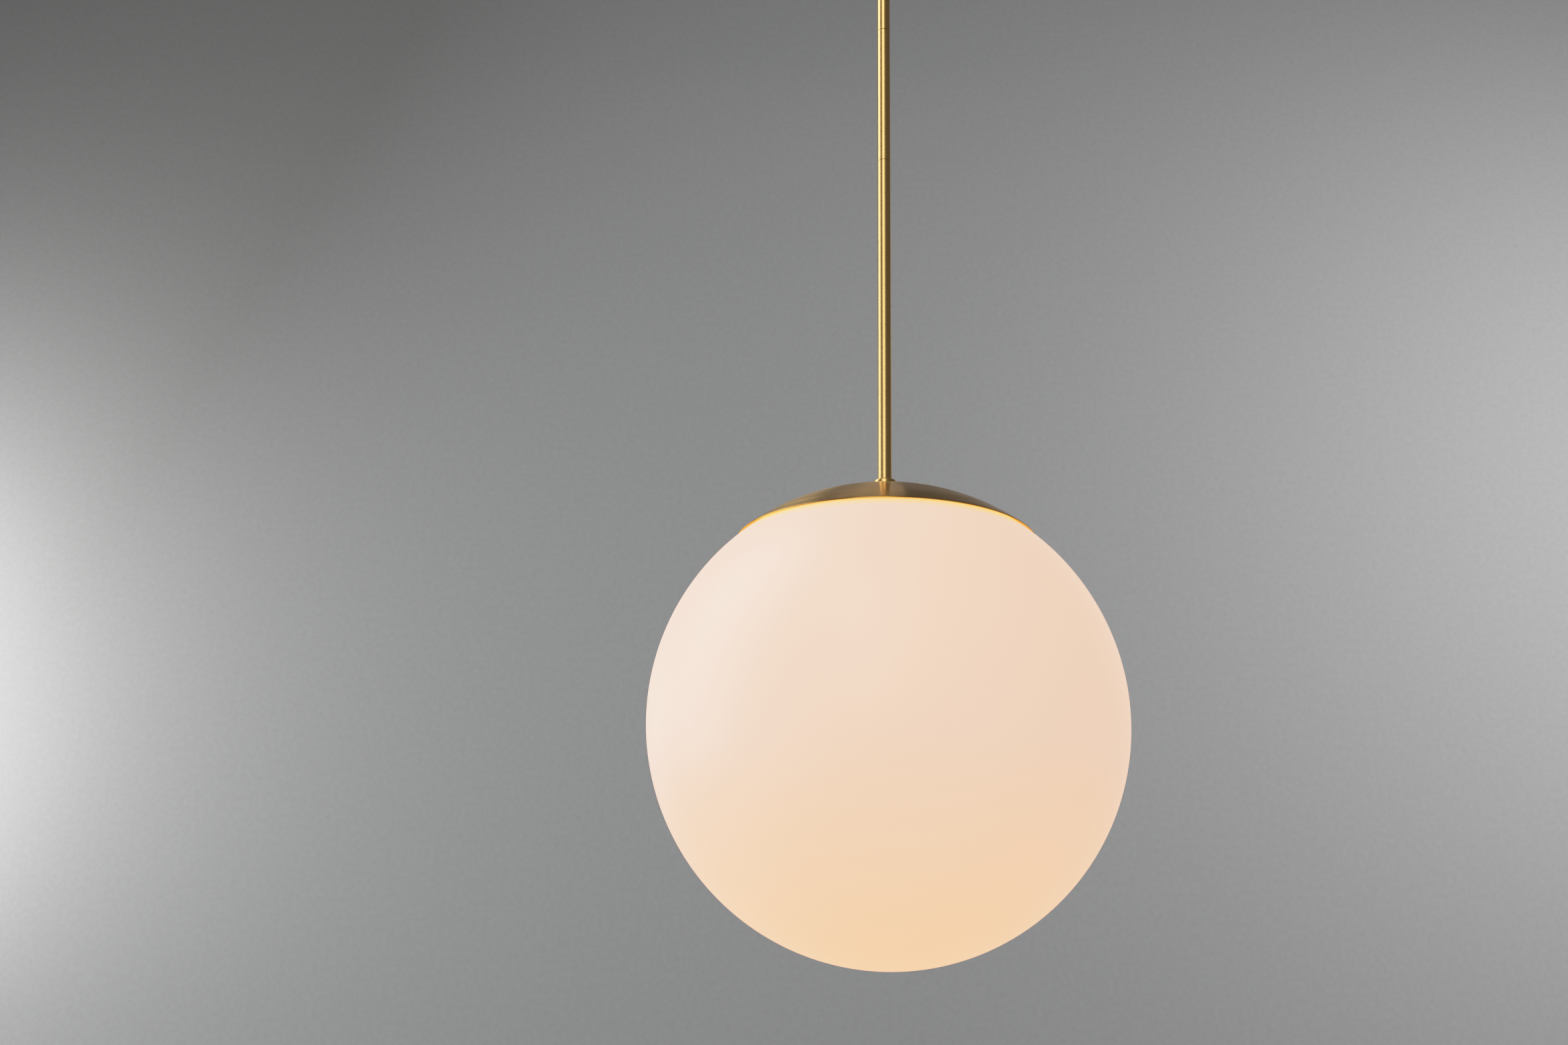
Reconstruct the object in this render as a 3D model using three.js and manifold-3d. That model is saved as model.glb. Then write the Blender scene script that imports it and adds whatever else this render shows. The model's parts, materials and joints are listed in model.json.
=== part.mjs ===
// A stem-hung pendant light: an opal glass globe under a close-fitting brass dome.
//
// Millimetres, +Z up. The origin is the centre of the ceiling face of the mounting hardware,
// so the whole light hangs below Z = 0. The light head is drawn in a group of its own whose
// origin is the centre of the glass globe.

import * as THREE from "three";
import { mergeVertices } from "three/addons/utils/BufferGeometryUtils.js";
import Module from "manifold-3d";

const wasm = await Module();
wasm.setup();

// ---------------------------------------------------------------- driving dimensions

const GLOBE_RADIUS = 203.2; // 16 in globe
const GLASS_WALL = 4;
const GLOBE_HOLE_RADIUS = 76.2; // 6 in neckless opening

const DOME_RADIUS = 208; // outside of the dome
const DOME_DROP = 3.6; // its centre of curvature, below the globe's centre
const DOME_SHEET = 0.9;
const DOME_RIM_RADIUS = 133.1;
const DOME_HOLE_RADIUS = 8.6;

const STEM_RADIUS = 6.35; // 1/2 in tube
const STEM_BORE_RADIUS = 5.25;
const STEM_LOWER_LENGTH = 355.6; // 14 in
const STEM_MIDDLE_LENGTH = 152.4; // 6 in
const STEM_UPPER_LENGTH = 304.8; // 12 in
const STEM_FOOT = 195.4; // lower end of the stem above the globe's centre

const BALL_RADIUS = 12;
const BALL_FLAT = 10.3; // the ball's lower flat below its centre
const BALL_CENTRE_Z = -36; // below the ceiling

const CANOPY_RADIUS = 63.5; // 5 in canopy
const CANOPY_DEPTH = 30;
const CANOPY_SHEET = 1.2;

const CROSSBAR_LENGTH = 112;
const CROSSBAR_WIDTH = 22;
const CROSSBAR_SHEET = 2.5;
const BOX_SCREW_SPACING = 88.9; // slots for a standard ceiling box
const SOCKET_RADIUS = 17.5;
const SOCKET_TOP = 27; // above the ball's centre
const SOCKET_FOOT = -9;
const GROUND_SCREW_X = 26;

const THREAD_RADIUS = 4.9; // 1/8 in pipe thread, crest
const THREAD_BORE_RADIUS = 3.6;
const CABLE_RADIUS = 3;
const WIRE_RADIUS = 1.1;

const LATCH_COUNT = 3;
const LATCH_PIVOT_RADIUS = 58; // pivot circle on the holder plate
const LATCH_REACH = 22; // pivot to lug centre

const BULB_RADIUS = 30;
const BULB_WALL = 1.2;
const BULB_CENTRE = 78; // centre of the bulb's round end, above the globe's centre
const BULB_SEAM = 98; // where the diffuser meets the housing, above the globe's centre

const GAP = 0.3; // between pieces that touch
const RUNNING_GAP = 0.4; // around a shaft that turns or slides

const FINE = 36; // sides of the large round pieces
const MEDIUM = 18;
const SMALL = 12;

// ---------------------------------------------------------------- derived heights

// Above the globe's centre.
const STEM_LOWER_TOP = STEM_FOOT + STEM_LOWER_LENGTH;
const STEM_MIDDLE_FOOT = STEM_LOWER_TOP + GAP;
const STEM_MIDDLE_TOP = STEM_MIDDLE_FOOT + STEM_MIDDLE_LENGTH;
const STEM_UPPER_FOOT = STEM_MIDDLE_TOP + GAP;
const STEM_UPPER_TOP = STEM_UPPER_FOOT + STEM_UPPER_LENGTH;
const BALL_CENTRE = STEM_UPPER_TOP + GAP + BALL_FLAT;
const GLOBE_CENTRE_Z = BALL_CENTRE_Z - BALL_CENTRE;

const PLATE_TOP = 189.7;
const PLATE_SHEET = 1.5;
const PLATE_RADIUS = 71;
const LATCH_ARM_TOP = 176.6;
const KNOB_TOP = 192.8;
const CAP_TOP = 180;
const LAMPHOLDER_TOP = 170;
const LAMPHOLDER_FOOT = 128;
const BULB_BASE_TOP = 154.5;
const BULB_BASE_FOOT = 131.5;
const HUB_TOP = 202.5;
const BUSHING_FOOT = 203;
const BUSHING_TOP = 205.7;
const COLLAR_FOOT = BUSHING_TOP + GAP;
const COLLAR_TOP = 218.2;
const COLLAR_RADIUS = 10.6;
const COLLAR_SCREW_HEIGHT = 210.7;

// ---------------------------------------------------------------- materials

const finish = (color, roughness, metalness) => ({ color, roughness, metalness });

const SATIN_BRASS = finish(0xb48c4c, 0.34, 1);
const POLISHED_BRASS = finish(0xc89a50, 0.2, 1);
const ZINC_STEEL = finish(0xb4b6b8, 0.38, 1);
const OPAL_GLASS = finish(0xf4e6d8, 0.22, 0);
const PORCELAIN = finish(0xf0eee8, 0.25, 0);
const WHITE_PLASTIC = finish(0xe9e7e2, 0.45, 0);
const NYLON = finish(0xe2ddd0, 0.5, 0);
const SILICONE = finish(0xd6d2ca, 0.7, 0);
const ALUMINIUM = finish(0xc4c6c8, 0.3, 1);
const BLACK_INSULATION = finish(0x1b1b1c, 0.55, 0);
const WHITE_INSULATION = finish(0xe6e4de, 0.55, 0);
const GREEN_INSULATION = finish(0x2f7a42, 0.55, 0);
const RED_PLASTIC = finish(0xb8432c, 0.5, 0);
const CABLE_JACKET = finish(0x2a2826, 0.6, 0);
const CIRCUIT_BOARD = finish(0xe4e6e6, 0.4, 0);

// ---------------------------------------------------------------- geometry helpers

// Revolves an outline of [radius, height] points about Z. The outline either closes on itself
// or runs from axis to axis.
function revolve(outline, sides) {
  const points = outline.map(([radius, height]) => new THREE.Vector2(radius, height));
  if (THREE.ShapeUtils.area(points) < 0) points.reverse();
  const meetsAxis = points[0].x === 0 && points[points.length - 1].x === 0;
  if (!meetsAxis) points.push(points[0].clone());
  return new THREE.LatheGeometry(points, sides).rotateX(Math.PI / 2);
}

// A round tube between two heights.
function tube(outerRadius, innerRadius, foot, top, sides) {
  return revolve([[innerRadius, foot], [outerRadius, foot], [outerRadius, top], [innerRadius, top]], sides);
}

// A solid round rod between two heights, upright at (x, y).
function rod(radius, foot, top, sides, x = 0, y = 0) {
  const geometry = new THREE.CylinderGeometry(radius, radius, top - foot, sides);
  return geometry.rotateX(Math.PI / 2).translate(x, y, (foot + top) / 2);
}

// A solid round rod lying along Y, centred at (x, z), from near to far.
function rodAlongY(radius, near, far, sides, x, z) {
  return new THREE.CylinderGeometry(radius, radius, far - near, sides).translate(x, (near + far) / 2, z);
}

// A rectangular block given by its centre and size.
function block(sizeX, sizeY, sizeZ, x, y, z) {
  return new THREE.BoxGeometry(sizeX, sizeY, sizeZ).translate(x, y, z);
}

// [radius, height] points on a circle about the axis, by polar angle from +Z in degrees. A
// point at 180 degrees lies exactly on the axis.
function arc(radius, fromDegrees, toDegrees, steps, centreHeight = 0) {
  return Array.from({ length: steps + 1 }, (_, i) => {
    const degrees = fromDegrees + ((toDegrees - fromDegrees) * i) / steps;
    const angle = THREE.MathUtils.degToRad(degrees);
    const fromAxis = degrees === 180 ? 0 : radius * Math.sin(angle);
    return [fromAxis, centreHeight + radius * Math.cos(angle)];
  });
}

// The polar angle in degrees at which a sphere has the given radius from the axis.
function polarAngle(sphereRadius, radius) {
  return THREE.MathUtils.radToDeg(Math.asin(radius / sphereRadius));
}

// A flat outline pushed up from foot to top.
function slab(shape, foot, top) {
  const options = { depth: top - foot, bevelEnabled: false, curveSegments: 5 };
  return new THREE.ExtrudeGeometry(shape, options).translate(0, 0, foot);
}

// A closed outline whose radius waves between two values, for finger grips.
function scallopedShape(outerRadius, innerRadius, waves) {
  const count = waves * 2;
  const points = Array.from({ length: count }, (_, i) => {
    const angle = (i / count) * 2 * Math.PI;
    const radius = i % 2 ? innerRadius : outerRadius;
    return new THREE.Vector2(radius * Math.cos(angle), radius * Math.sin(angle));
  });
  return new THREE.Shape(points);
}

// A regular polygon by its corner radius.
function polygonShape(cornerRadius, corners) {
  return scallopedShape(cornerRadius, cornerRadius, corners / 2);
}

function circlePath(radius, sides, x = 0, y = 0) {
  const points = Array.from({ length: sides }, (_, i) => {
    const angle = (i / sides) * 2 * Math.PI;
    return new THREE.Vector2(x + radius * Math.cos(angle), y + radius * Math.sin(angle));
  });
  return new THREE.Path(points);
}

// An insulated wire along a smooth curve through the given points.
function wire(radius, points, steps) {
  const path = new THREE.CatmullRomCurve3(points.map(([x, y, z]) => new THREE.Vector3(x, y, z)));
  const options = { steps, extrudePath: path, bevelEnabled: false };
  return new THREE.ExtrudeGeometry(polygonShape(radius, 6), options);
}

// Turns a closed geometry into a manifold solid.
function toSolid(geometry) {
  const bare = geometry.clone();
  bare.deleteAttribute("normal");
  bare.deleteAttribute("uv");
  const welded = mergeVertices(bare, 1e-4);
  const corners = Array.from(welded.index.array);
  const kept = [];
  for (let i = 0; i < corners.length; i += 3) {
    const [a, b, c] = corners.slice(i, i + 3);
    if (a !== b && b !== c && c !== a) kept.push(a, b, c);
  }
  const vertProperties = new Float32Array(welded.attributes.position.array);
  const triVerts = new Uint32Array(kept);
  return new wasm.Manifold(new wasm.Mesh({ numProp: 3, vertProperties, triVerts }));
}

function toGeometry(solid) {
  const mesh = solid.getMesh();
  const geometry = new THREE.BufferGeometry();
  geometry.setAttribute("position", new THREE.BufferAttribute(new Float32Array(mesh.vertProperties), 3));
  geometry.setIndex(new THREE.BufferAttribute(new Uint32Array(mesh.triVerts), 1));
  geometry.computeVertexNormals();
  return geometry;
}

function cut(geometry, tools) {
  return toGeometry(tools.reduce((solid, tool) => solid.subtract(toSolid(tool)), toSolid(geometry)));
}

function join(geometry, additions) {
  return toGeometry(additions.reduce((solid, addition) => solid.add(toSolid(addition)), toSolid(geometry)));
}

function addPiece(group, name, geometry, look) {
  const mesh = new THREE.Mesh(geometry, new THREE.MeshStandardMaterial(look));
  mesh.name = name;
  group.add(mesh);
}

// ---------------------------------------------------------------- ceiling hardware

// The flat steel bar that screws to the ceiling box.
function mountingCrossbar() {
  const half = BOX_SCREW_SPACING / 2;
  const bar = block(CROSSBAR_LENGTH, CROSSBAR_WIDTH, CROSSBAR_SHEET, 0, 0, -CROSSBAR_SHEET / 2);
  const below = -CROSSBAR_SHEET - 1;
  const slots = [-1, 1].flatMap((side) => [
    block(10, 4.8, CROSSBAR_SHEET + 2, side * half, 0, -CROSSBAR_SHEET / 2),
    rod(2.4, below, 1, SMALL, side * (half - 5), 0),
    rod(2.4, below, 1, SMALL, side * (half + 5), 0),
  ]);
  const centreHole = rod(THREAD_RADIUS + GAP, below, 1, SMALL);
  const groundHole = rod(2.3, below, 1, SMALL, GROUND_SCREW_X, 0);
  return cut(bar, [...slots, centreHole, groundHole]);
}

// The green hexagon-headed screw that grounds the fixture to the bar.
function groundScrew() {
  const head = slab(polygonShape(4.6, 6), -CROSSBAR_SHEET - GAP - 2.6, -CROSSBAR_SHEET - GAP);
  const shank = rod(1.9, -CROSSBAR_SHEET - GAP - 1, -GAP, 12);
  return join(head, [shank]).translate(GROUND_SCREW_X, 0, 0);
}

// The short hollow threaded rod between the bar and the swivel.
function hangerNipple() {
  return tube(THREAD_RADIUS, THREAD_BORE_RADIUS, BALL_CENTRE_Z + 20.5, -0.6, SMALL);
}

function hexNut(cornerRadius, boreRadius, foot, top) {
  const shape = polygonShape(cornerRadius, 6);
  shape.holes.push(circlePath(boreRadius, SMALL));
  return slab(shape, foot, top);
}

// The turned housing that holds the ball. Heights are from the ball's centre.
function swivelSocket() {
  const cavity = BALL_RADIUS + 0.35;
  const neckInner = 8;
  const outline = [
    [THREAD_RADIUS + GAP, SOCKET_TOP],
    [THREAD_RADIUS + GAP, 19],
    [neckInner, 19],
    ...arc(cavity, polarAngle(cavity, neckInner), 90, 5),
    [cavity, -2],
    [15.2, -2],
    [15.2, SOCKET_FOOT],
    [SOCKET_RADIUS, SOCKET_FOOT],
    [SOCKET_RADIUS, 9],
    [13, 13.5],
    [13, 20.5],
    [10.5, 23],
    [10.5, SOCKET_TOP],
  ];
  const windows = block(9, 40, 5.5, 0, 0, 16);
  return cut(revolve(outline, MEDIUM), [windows]);
}

// The nylon ring that carries the ball and turns with it.
function swivelSeat() {
  const running = BALL_RADIUS + 0.3;
  const seatArc = arc(running, 102, 124.5, 4);
  return revolve([...seatArc, [10.4, -7.5], [14.6, -7.5], [14.6, -2.6]], MEDIUM);
}

// The threaded ring that closes the socket from below, flared to clear the tilting stem.
function swivelRetainer() {
  const outline = [
    [10.7, -7.8],
    [14.8, -7.8],
    [14.8, SOCKET_FOOT - GAP],
    [SOCKET_RADIUS, SOCKET_FOOT - GAP],
    [SOCKET_RADIUS, -11],
    [16.5, -12],
    [12.6, -12],
  ];
  return revolve(outline, MEDIUM);
}

// The shallow pan that covers the ceiling box.
function canopy() {
  const edge = 6; // radius of the rounded lower edge
  const round = (radius) =>
    arc(radius, 90, 180, 3).map(([r, h]) => [CANOPY_RADIUS - edge + r, edge - CANOPY_DEPTH + h]);
  const holeRadius = SOCKET_RADIUS + 0.5;
  const outline = [
    [CANOPY_RADIUS, 0],
    ...round(edge),
    [holeRadius, -CANOPY_DEPTH],
    [holeRadius, CANOPY_SHEET - CANOPY_DEPTH],
    ...round(edge - CANOPY_SHEET).reverse(),
    [CANOPY_RADIUS - CANOPY_SHEET, 0],
  ];
  return revolve(outline, FINE);
}

// The knurled ring that screws onto the socket and holds the canopy up.
function canopyRing() {
  const shape = scallopedShape(25, 24.4, 20);
  shape.holes.push(circlePath(SOCKET_RADIUS + 0.7, MEDIUM));
  return slab(shape, -CANOPY_DEPTH - GAP - 4.2, -CANOPY_DEPTH - GAP);
}

// A moulded twist-on wire connector lying on its side, mouth towards the socket.
function wireConnector(x, y, z) {
  const outline = [[0, 0], [6, 0], [6.2, 6], [5.2, 8], [3.6, 20], [2.4, 22], [0, 22]];
  const cone = revolve(outline, 12);
  const mouth = rod(3.2, -1, 9, 12);
  const inwards = new THREE.Vector3(x, y, 0).normalize();
  const turn = new THREE.Quaternion().setFromUnitVectors(new THREE.Vector3(0, 0, 1), inwards);
  return cut(cone, [mouth]).applyQuaternion(turn).translate(x, y, z);
}

function addCeilingHardware(group) {
  addPiece(group, "mounting_crossbar", mountingCrossbar(), ZINC_STEEL);
  addPiece(group, "ground_screw", groundScrew(), GREEN_INSULATION);
  addPiece(group, "hanger_nipple", hangerNipple(), ZINC_STEEL);
  const nutTop = -CROSSBAR_SHEET - GAP;
  addPiece(group, "hanger_locknut", hexNut(9.2, THREAD_RADIUS + GAP, nutTop - 3.6, nutTop), POLISHED_BRASS);
  addPiece(group, "canopy", canopy(), SATIN_BRASS);
  addPiece(group, "canopy_ring", canopyRing(), POLISHED_BRASS);

  const swivel = new THREE.Group();
  swivel.position.z = BALL_CENTRE_Z;
  addPiece(swivel, "swivel_socket", swivelSocket(), SATIN_BRASS);
  addPiece(swivel, "swivel_seat", swivelSeat(), NYLON);
  addPiece(swivel, "swivel_retainer", swivelRetainer(), POLISHED_BRASS);
  group.add(swivel);
}

// The three conductors leave the cable above the ball and pass out of the socket's windows.
function addWiring(group) {
  const start = BALL_CENTRE_Z + 12.3;
  const windowHeight = BALL_CENTRE_Z + 16;
  const connectorHeight = -14;
  const lineWire = [
    [-1.3, 0.4, start],
    [-1.6, 4, windowHeight - 1],
    [-4, 14, windowHeight],
    [-16, 23, -17],
    [-24.5, 27.5, connectorHeight],
    [-31, 34.8, connectorHeight],
  ];
  const neutralWire = [
    [1.4, -0.4, start],
    [1.8, -4, windowHeight - 1],
    [4, -14, windowHeight],
    [16, -23, -17],
    [24.5, -27.5, connectorHeight],
    [31, -34.8, connectorHeight],
  ];
  const groundWire = [
    [1.3, 1.9, start],
    [2, 5, windowHeight - 1],
    [4, 14, windowHeight],
    [14, 19, -15],
    [25, 12, -9],
    [GROUND_SCREW_X, 6.2, -6],
  ];
  addPiece(group, "conductor_line", wire(WIRE_RADIUS, lineWire, 16), BLACK_INSULATION);
  addPiece(group, "conductor_neutral", wire(WIRE_RADIUS, neutralWire, 16), WHITE_INSULATION);
  addPiece(group, "conductor_ground", wire(WIRE_RADIUS, groundWire, 16), GREEN_INSULATION);
  addPiece(group, "wire_connector_line", wireConnector(-26, 29.2, connectorHeight), RED_PLASTIC);
  addPiece(group, "wire_connector_neutral", wireConnector(26, -29.2, connectorHeight), RED_PLASTIC);
}

// ---------------------------------------------------------------- stem

// The drilled ball at the top of the stem, flat below where it meets the tube.
function swivelBall() {
  const top = 9.4;
  const upper = THREE.MathUtils.radToDeg(Math.acos(top / BALL_RADIUS));
  const lower = THREE.MathUtils.radToDeg(Math.acos(-BALL_FLAT / BALL_RADIUS));
  const bore = THREAD_RADIUS + GAP;
  const ball = revolve([[bore, top], ...arc(BALL_RADIUS, upper, lower, 8), [bore, -BALL_FLAT]], MEDIUM);
  return ball.translate(0, 0, BALL_CENTRE);
}

// A hollow threaded stud centred on a joint of the stem.
function stud(centre, length) {
  return tube(THREAD_RADIUS, THREAD_BORE_RADIUS, centre - length / 2, centre + length / 2, SMALL);
}

function addStem(head) {
  const section = (foot, top) => tube(STEM_RADIUS, STEM_BORE_RADIUS, foot, top, MEDIUM);
  addPiece(head, "swivel_ball", swivelBall(), POLISHED_BRASS);
  addPiece(head, "stem_upper", section(STEM_UPPER_FOOT, STEM_UPPER_TOP), POLISHED_BRASS);
  addPiece(head, "stem_middle", section(STEM_MIDDLE_FOOT, STEM_MIDDLE_TOP), POLISHED_BRASS);
  addPiece(head, "stem_lower", section(STEM_FOOT, STEM_LOWER_TOP), POLISHED_BRASS);
  addPiece(head, "stem_stud_top", stud(STEM_UPPER_TOP, 26), ZINC_STEEL);
  addPiece(head, "stem_stud_high", stud(STEM_UPPER_FOOT, 24), ZINC_STEEL);
  addPiece(head, "stem_stud_low", stud(STEM_MIDDLE_FOOT, 24), ZINC_STEEL);
  const cable = rod(CABLE_RADIUS, LAMPHOLDER_TOP + 1, BALL_CENTRE + 11.3, 12);
  addPiece(head, "supply_cable", cable, CABLE_JACKET);
}

// ---------------------------------------------------------------- globe holder

// The turned hub that the dome rests on.
function holderHub() {
  const foot = PLATE_TOP + GAP;
  const seat = STEM_FOOT - GAP;
  const outline = [
    [THREAD_RADIUS + GAP, foot],
    [20, foot],
    [20, foot + 2.4],
    [18.8, foot + 3.4],
    [14, foot + 3.4],
    [14, HUB_TOP - 0.8],
    [13.2, HUB_TOP],
    [STEM_RADIUS + RUNNING_GAP, HUB_TOP],
    [STEM_RADIUS + RUNNING_GAP, seat],
    [THREAD_RADIUS + GAP, seat],
  ];
  return revolve(outline, MEDIUM);
}

// The pressed pan that fills the globe's opening, with a turned-down edge and latch holes.
function holderPlate() {
  const inside = PLATE_TOP - PLATE_SHEET;
  const outline = [
    [THREAD_RADIUS + GAP, inside],
    [PLATE_RADIUS - PLATE_SHEET, inside],
    [PLATE_RADIUS - PLATE_SHEET, 183],
    [PLATE_RADIUS, 183],
    [PLATE_RADIUS, PLATE_TOP - 1],
    [PLATE_RADIUS - 1, PLATE_TOP],
    [THREAD_RADIUS + GAP, PLATE_TOP],
  ];
  const holes = latchAngles().map((angle) => {
    const [x, y] = [LATCH_PIVOT_RADIUS * Math.cos(angle), LATCH_PIVOT_RADIUS * Math.sin(angle)];
    return rod(3.2, inside - 1, PLATE_TOP + 1, SMALL, x, y);
  });
  return cut(revolve(outline, FINE), holes);
}

function latchAngles() {
  return Array.from({ length: LATCH_COUNT }, (_, i) => Math.PI / 2 + (i * 2 * Math.PI) / LATCH_COUNT);
}

// A flat arm on its post. At rest the arm points outwards, under the glass.
function latchArm() {
  const foot = LATCH_ARM_TOP - 1.8;
  const shape = new THREE.Shape();
  shape.absarc(0, 0, 6, Math.PI / 2, (3 * Math.PI) / 2, false);
  shape.absarc(LATCH_REACH, 0, 4.5, -Math.PI / 2, Math.PI / 2, false);
  shape.closePath();
  const post = rod(2.6, LATCH_ARM_TOP - 1, KNOB_TOP - 1.4, SMALL);
  const shoulder = rod(4.4, LATCH_ARM_TOP - 1, PLATE_TOP - PLATE_SHEET - GAP, SMALL);
  return join(slab(shape, foot, LATCH_ARM_TOP), [post, shoulder]);
}

// The silicone disc on the lug, so that glass never meets metal.
function latchPad() {
  const foot = LATCH_ARM_TOP + GAP;
  return revolve([[0, foot], [4.3, foot], [4.3, foot + 1.5], [3.8, foot + 2], [0, foot + 2]], SMALL)
    .translate(LATCH_REACH, 0, 0);
}

// The low scalloped finger knob above the plate.
function latchKnob() {
  const foot = PLATE_TOP + GAP;
  const knob = slab(scallopedShape(6, 5.4, 9), foot, KNOB_TOP);
  return cut(knob, [rod(2.9, foot - 1, KNOB_TOP - 1, SMALL)]);
}

function addLatches(head) {
  latchAngles().forEach((angle, i) => {
    const latch = new THREE.Group();
    latch.position.set(LATCH_PIVOT_RADIUS * Math.cos(angle), LATCH_PIVOT_RADIUS * Math.sin(angle), 0);
    latch.rotation.z = angle;
    addPiece(latch, `latch_arm_${i + 1}`, latchArm(), ZINC_STEEL);
    addPiece(latch, `latch_pad_${i + 1}`, latchPad(), SILICONE);
    addPiece(latch, `latch_knob_${i + 1}`, latchKnob(), POLISHED_BRASS);
    head.add(latch);
  });
}

function addHolder(head) {
  const plateFoot = PLATE_TOP - PLATE_SHEET;
  const washerFoot = plateFoot - GAP - 1.3;
  const bore = THREAD_RADIUS + GAP;
  addPiece(head, "holder_hub", holderHub(), POLISHED_BRASS);
  addPiece(head, "holder_plate", holderPlate(), SATIN_BRASS);
  addPiece(head, "holder_nipple", tube(THREAD_RADIUS, THREAD_BORE_RADIUS, 175, 212, SMALL), ZINC_STEEL);
  addPiece(head, "holder_washer", tube(9.5, bore, washerFoot, plateFoot - GAP, MEDIUM), ZINC_STEEL);
  addPiece(head, "holder_nut", hexNut(9.2, bore, CAP_TOP + GAP, washerFoot - GAP), ZINC_STEEL);
}

// ---------------------------------------------------------------- lampholder

// The metal cap that screws onto the nipple and carries the porcelain.
function lampholderCap() {
  const bore = THREAD_RADIUS + GAP;
  const outline = [
    [bore, CAP_TOP],
    [9, CAP_TOP],
    [21.2, 173],
    [21.6, 171.5],
    [21.6, 160],
    [20.5, 160],
    [20.5, 171.4],
    [9, 178],
    [9, 174],
    [bore, 174],
  ];
  return revolve(outline, MEDIUM);
}

// The porcelain body, a cup open downwards.
function lampholderBody() {
  const outline = [
    [0, LAMPHOLDER_TOP],
    [18.6, LAMPHOLDER_TOP],
    [20, LAMPHOLDER_TOP - 1.4],
    [20, LAMPHOLDER_FOOT + 1.5],
    [18.5, LAMPHOLDER_FOOT],
    [15.2, LAMPHOLDER_FOOT],
    [14.6, LAMPHOLDER_FOOT + 1],
    [14.6, 160],
    [0, 160],
  ];
  return revolve(outline, MEDIUM);
}

// [radius, height] points of a rolled thread between two heights.
function rolledThread(root, crest, from, to, turns) {
  return Array.from({ length: turns * 2 + 1 }, (_, i) => [
    i % 2 ? crest : root,
    from + ((to - from) * i) / (turns * 2),
  ]);
}

// The rolled metal thread inside the porcelain.
function screwShell() {
  const wall = 0.3;
  const inner = rolledThread(13.5, 13.9, 131, 157, 4);
  const outer = inner.map(([radius, height]) => [radius + wall, height]).reverse();
  return revolve([...inner, ...outer], MEDIUM);
}

// The bent tongue that feeds the tip of the bulb.
function centreContact() {
  const shape = new THREE.Shape();
  const outline = [
    [-6, 159.7],
    [6, 159.7],
    [6, 159.1],
    [-3, 159.1],
    [3, 157.4],
    [3, 156.9],
    [-5, 159],
    [-6, 159],
  ];
  shape.setFromPoints(outline.map(([x, z]) => new THREE.Vector2(x, z)));
  const width = 5;
  const strip = new THREE.ExtrudeGeometry(shape, { depth: width, bevelEnabled: false });
  return strip.rotateX(Math.PI / 2).translate(0, width / 2, 0);
}

function addLampholder(head) {
  addPiece(head, "lampholder_cap", lampholderCap(), POLISHED_BRASS);
  addPiece(head, "lampholder_body", lampholderBody(), PORCELAIN);
  addPiece(head, "screw_shell", screwShell(), ALUMINIUM);
  addPiece(head, "centre_contact", centreContact(), POLISHED_BRASS);
}

// ---------------------------------------------------------------- bulb

// The frosted diffuser, a cup open upwards.
function bulbEnvelope() {
  const inner = BULB_RADIUS - BULB_WALL;
  const seamAngle = (radius) => THREE.MathUtils.radToDeg(Math.acos((BULB_SEAM - BULB_CENTRE) / radius));
  const outside = arc(BULB_RADIUS, seamAngle(BULB_RADIUS), 180, 7, BULB_CENTRE);
  const inside = arc(inner, 180, seamAngle(inner), 7, BULB_CENTRE);
  return revolve([...inside, ...outside], MEDIUM);
}

// The tapered housing between the diffuser and the screw base, a cup open downwards.
function bulbHousing() {
  const seamRadius = Math.sqrt(BULB_RADIUS ** 2 - (BULB_SEAM - BULB_CENTRE) ** 2);
  const wall = 1.4;
  const foot = BULB_SEAM + GAP;
  const neckTop = BULB_BASE_FOOT - GAP;
  const outside = [[seamRadius, foot], [20, 106], [16, 116], [13, 126], [13, neckTop], [0, neckTop]];
  const inside = [[0, neckTop - wall], [11.4, neckTop - wall], [11.4, 126], [14.4, 115], [18.4, 105.5],
    [seamRadius - wall, foot]];
  return revolve([...outside, ...inside], MEDIUM);
}

// The disc that carries the light-emitting diodes.
function ledBoard() {
  return revolve([[0, 99.5], [18, 99.5], [18, 101.1], [0, 101.1]], MEDIUM);
}

function bulbBase() {
  const thread = rolledThread(12.5, 13.05, BULB_BASE_FOOT + 1.5, BULB_BASE_TOP - 3, 4);
  const outline = [
    [0, BULB_BASE_FOOT],
    [12.8, BULB_BASE_FOOT],
    ...thread,
    [9, BULB_BASE_TOP],
    [0, BULB_BASE_TOP],
  ];
  return revolve(outline, MEDIUM);
}

function bulbContact() {
  const foot = BULB_BASE_TOP + GAP;
  return revolve([[0, foot], [5, foot], [4.4, foot + 1.2], [2.4, foot + 1.9], [0, foot + 1.9]], SMALL);
}

function addBulb(head) {
  addPiece(head, "bulb_envelope", bulbEnvelope(), WHITE_PLASTIC);
  addPiece(head, "bulb_housing", bulbHousing(), WHITE_PLASTIC);
  addPiece(head, "bulb_led_board", ledBoard(), CIRCUIT_BOARD);
  addPiece(head, "bulb_base", bulbBase(), ALUMINIUM);
  addPiece(head, "bulb_contact", bulbContact(), POLISHED_BRASS);
}

// ---------------------------------------------------------------- globe and dome

// The blown sphere with its neckless opening at the top.
function glassGlobe() {
  const innerRadius = GLOBE_RADIUS - GLASS_WALL;
  const outside = arc(GLOBE_RADIUS, polarAngle(GLOBE_RADIUS, GLOBE_HOLE_RADIUS), 180, 14);
  const inside = arc(innerRadius, 180, polarAngle(innerRadius, GLOBE_HOLE_RADIUS), 14);
  return revolve([...inside, ...outside], FINE);
}

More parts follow.
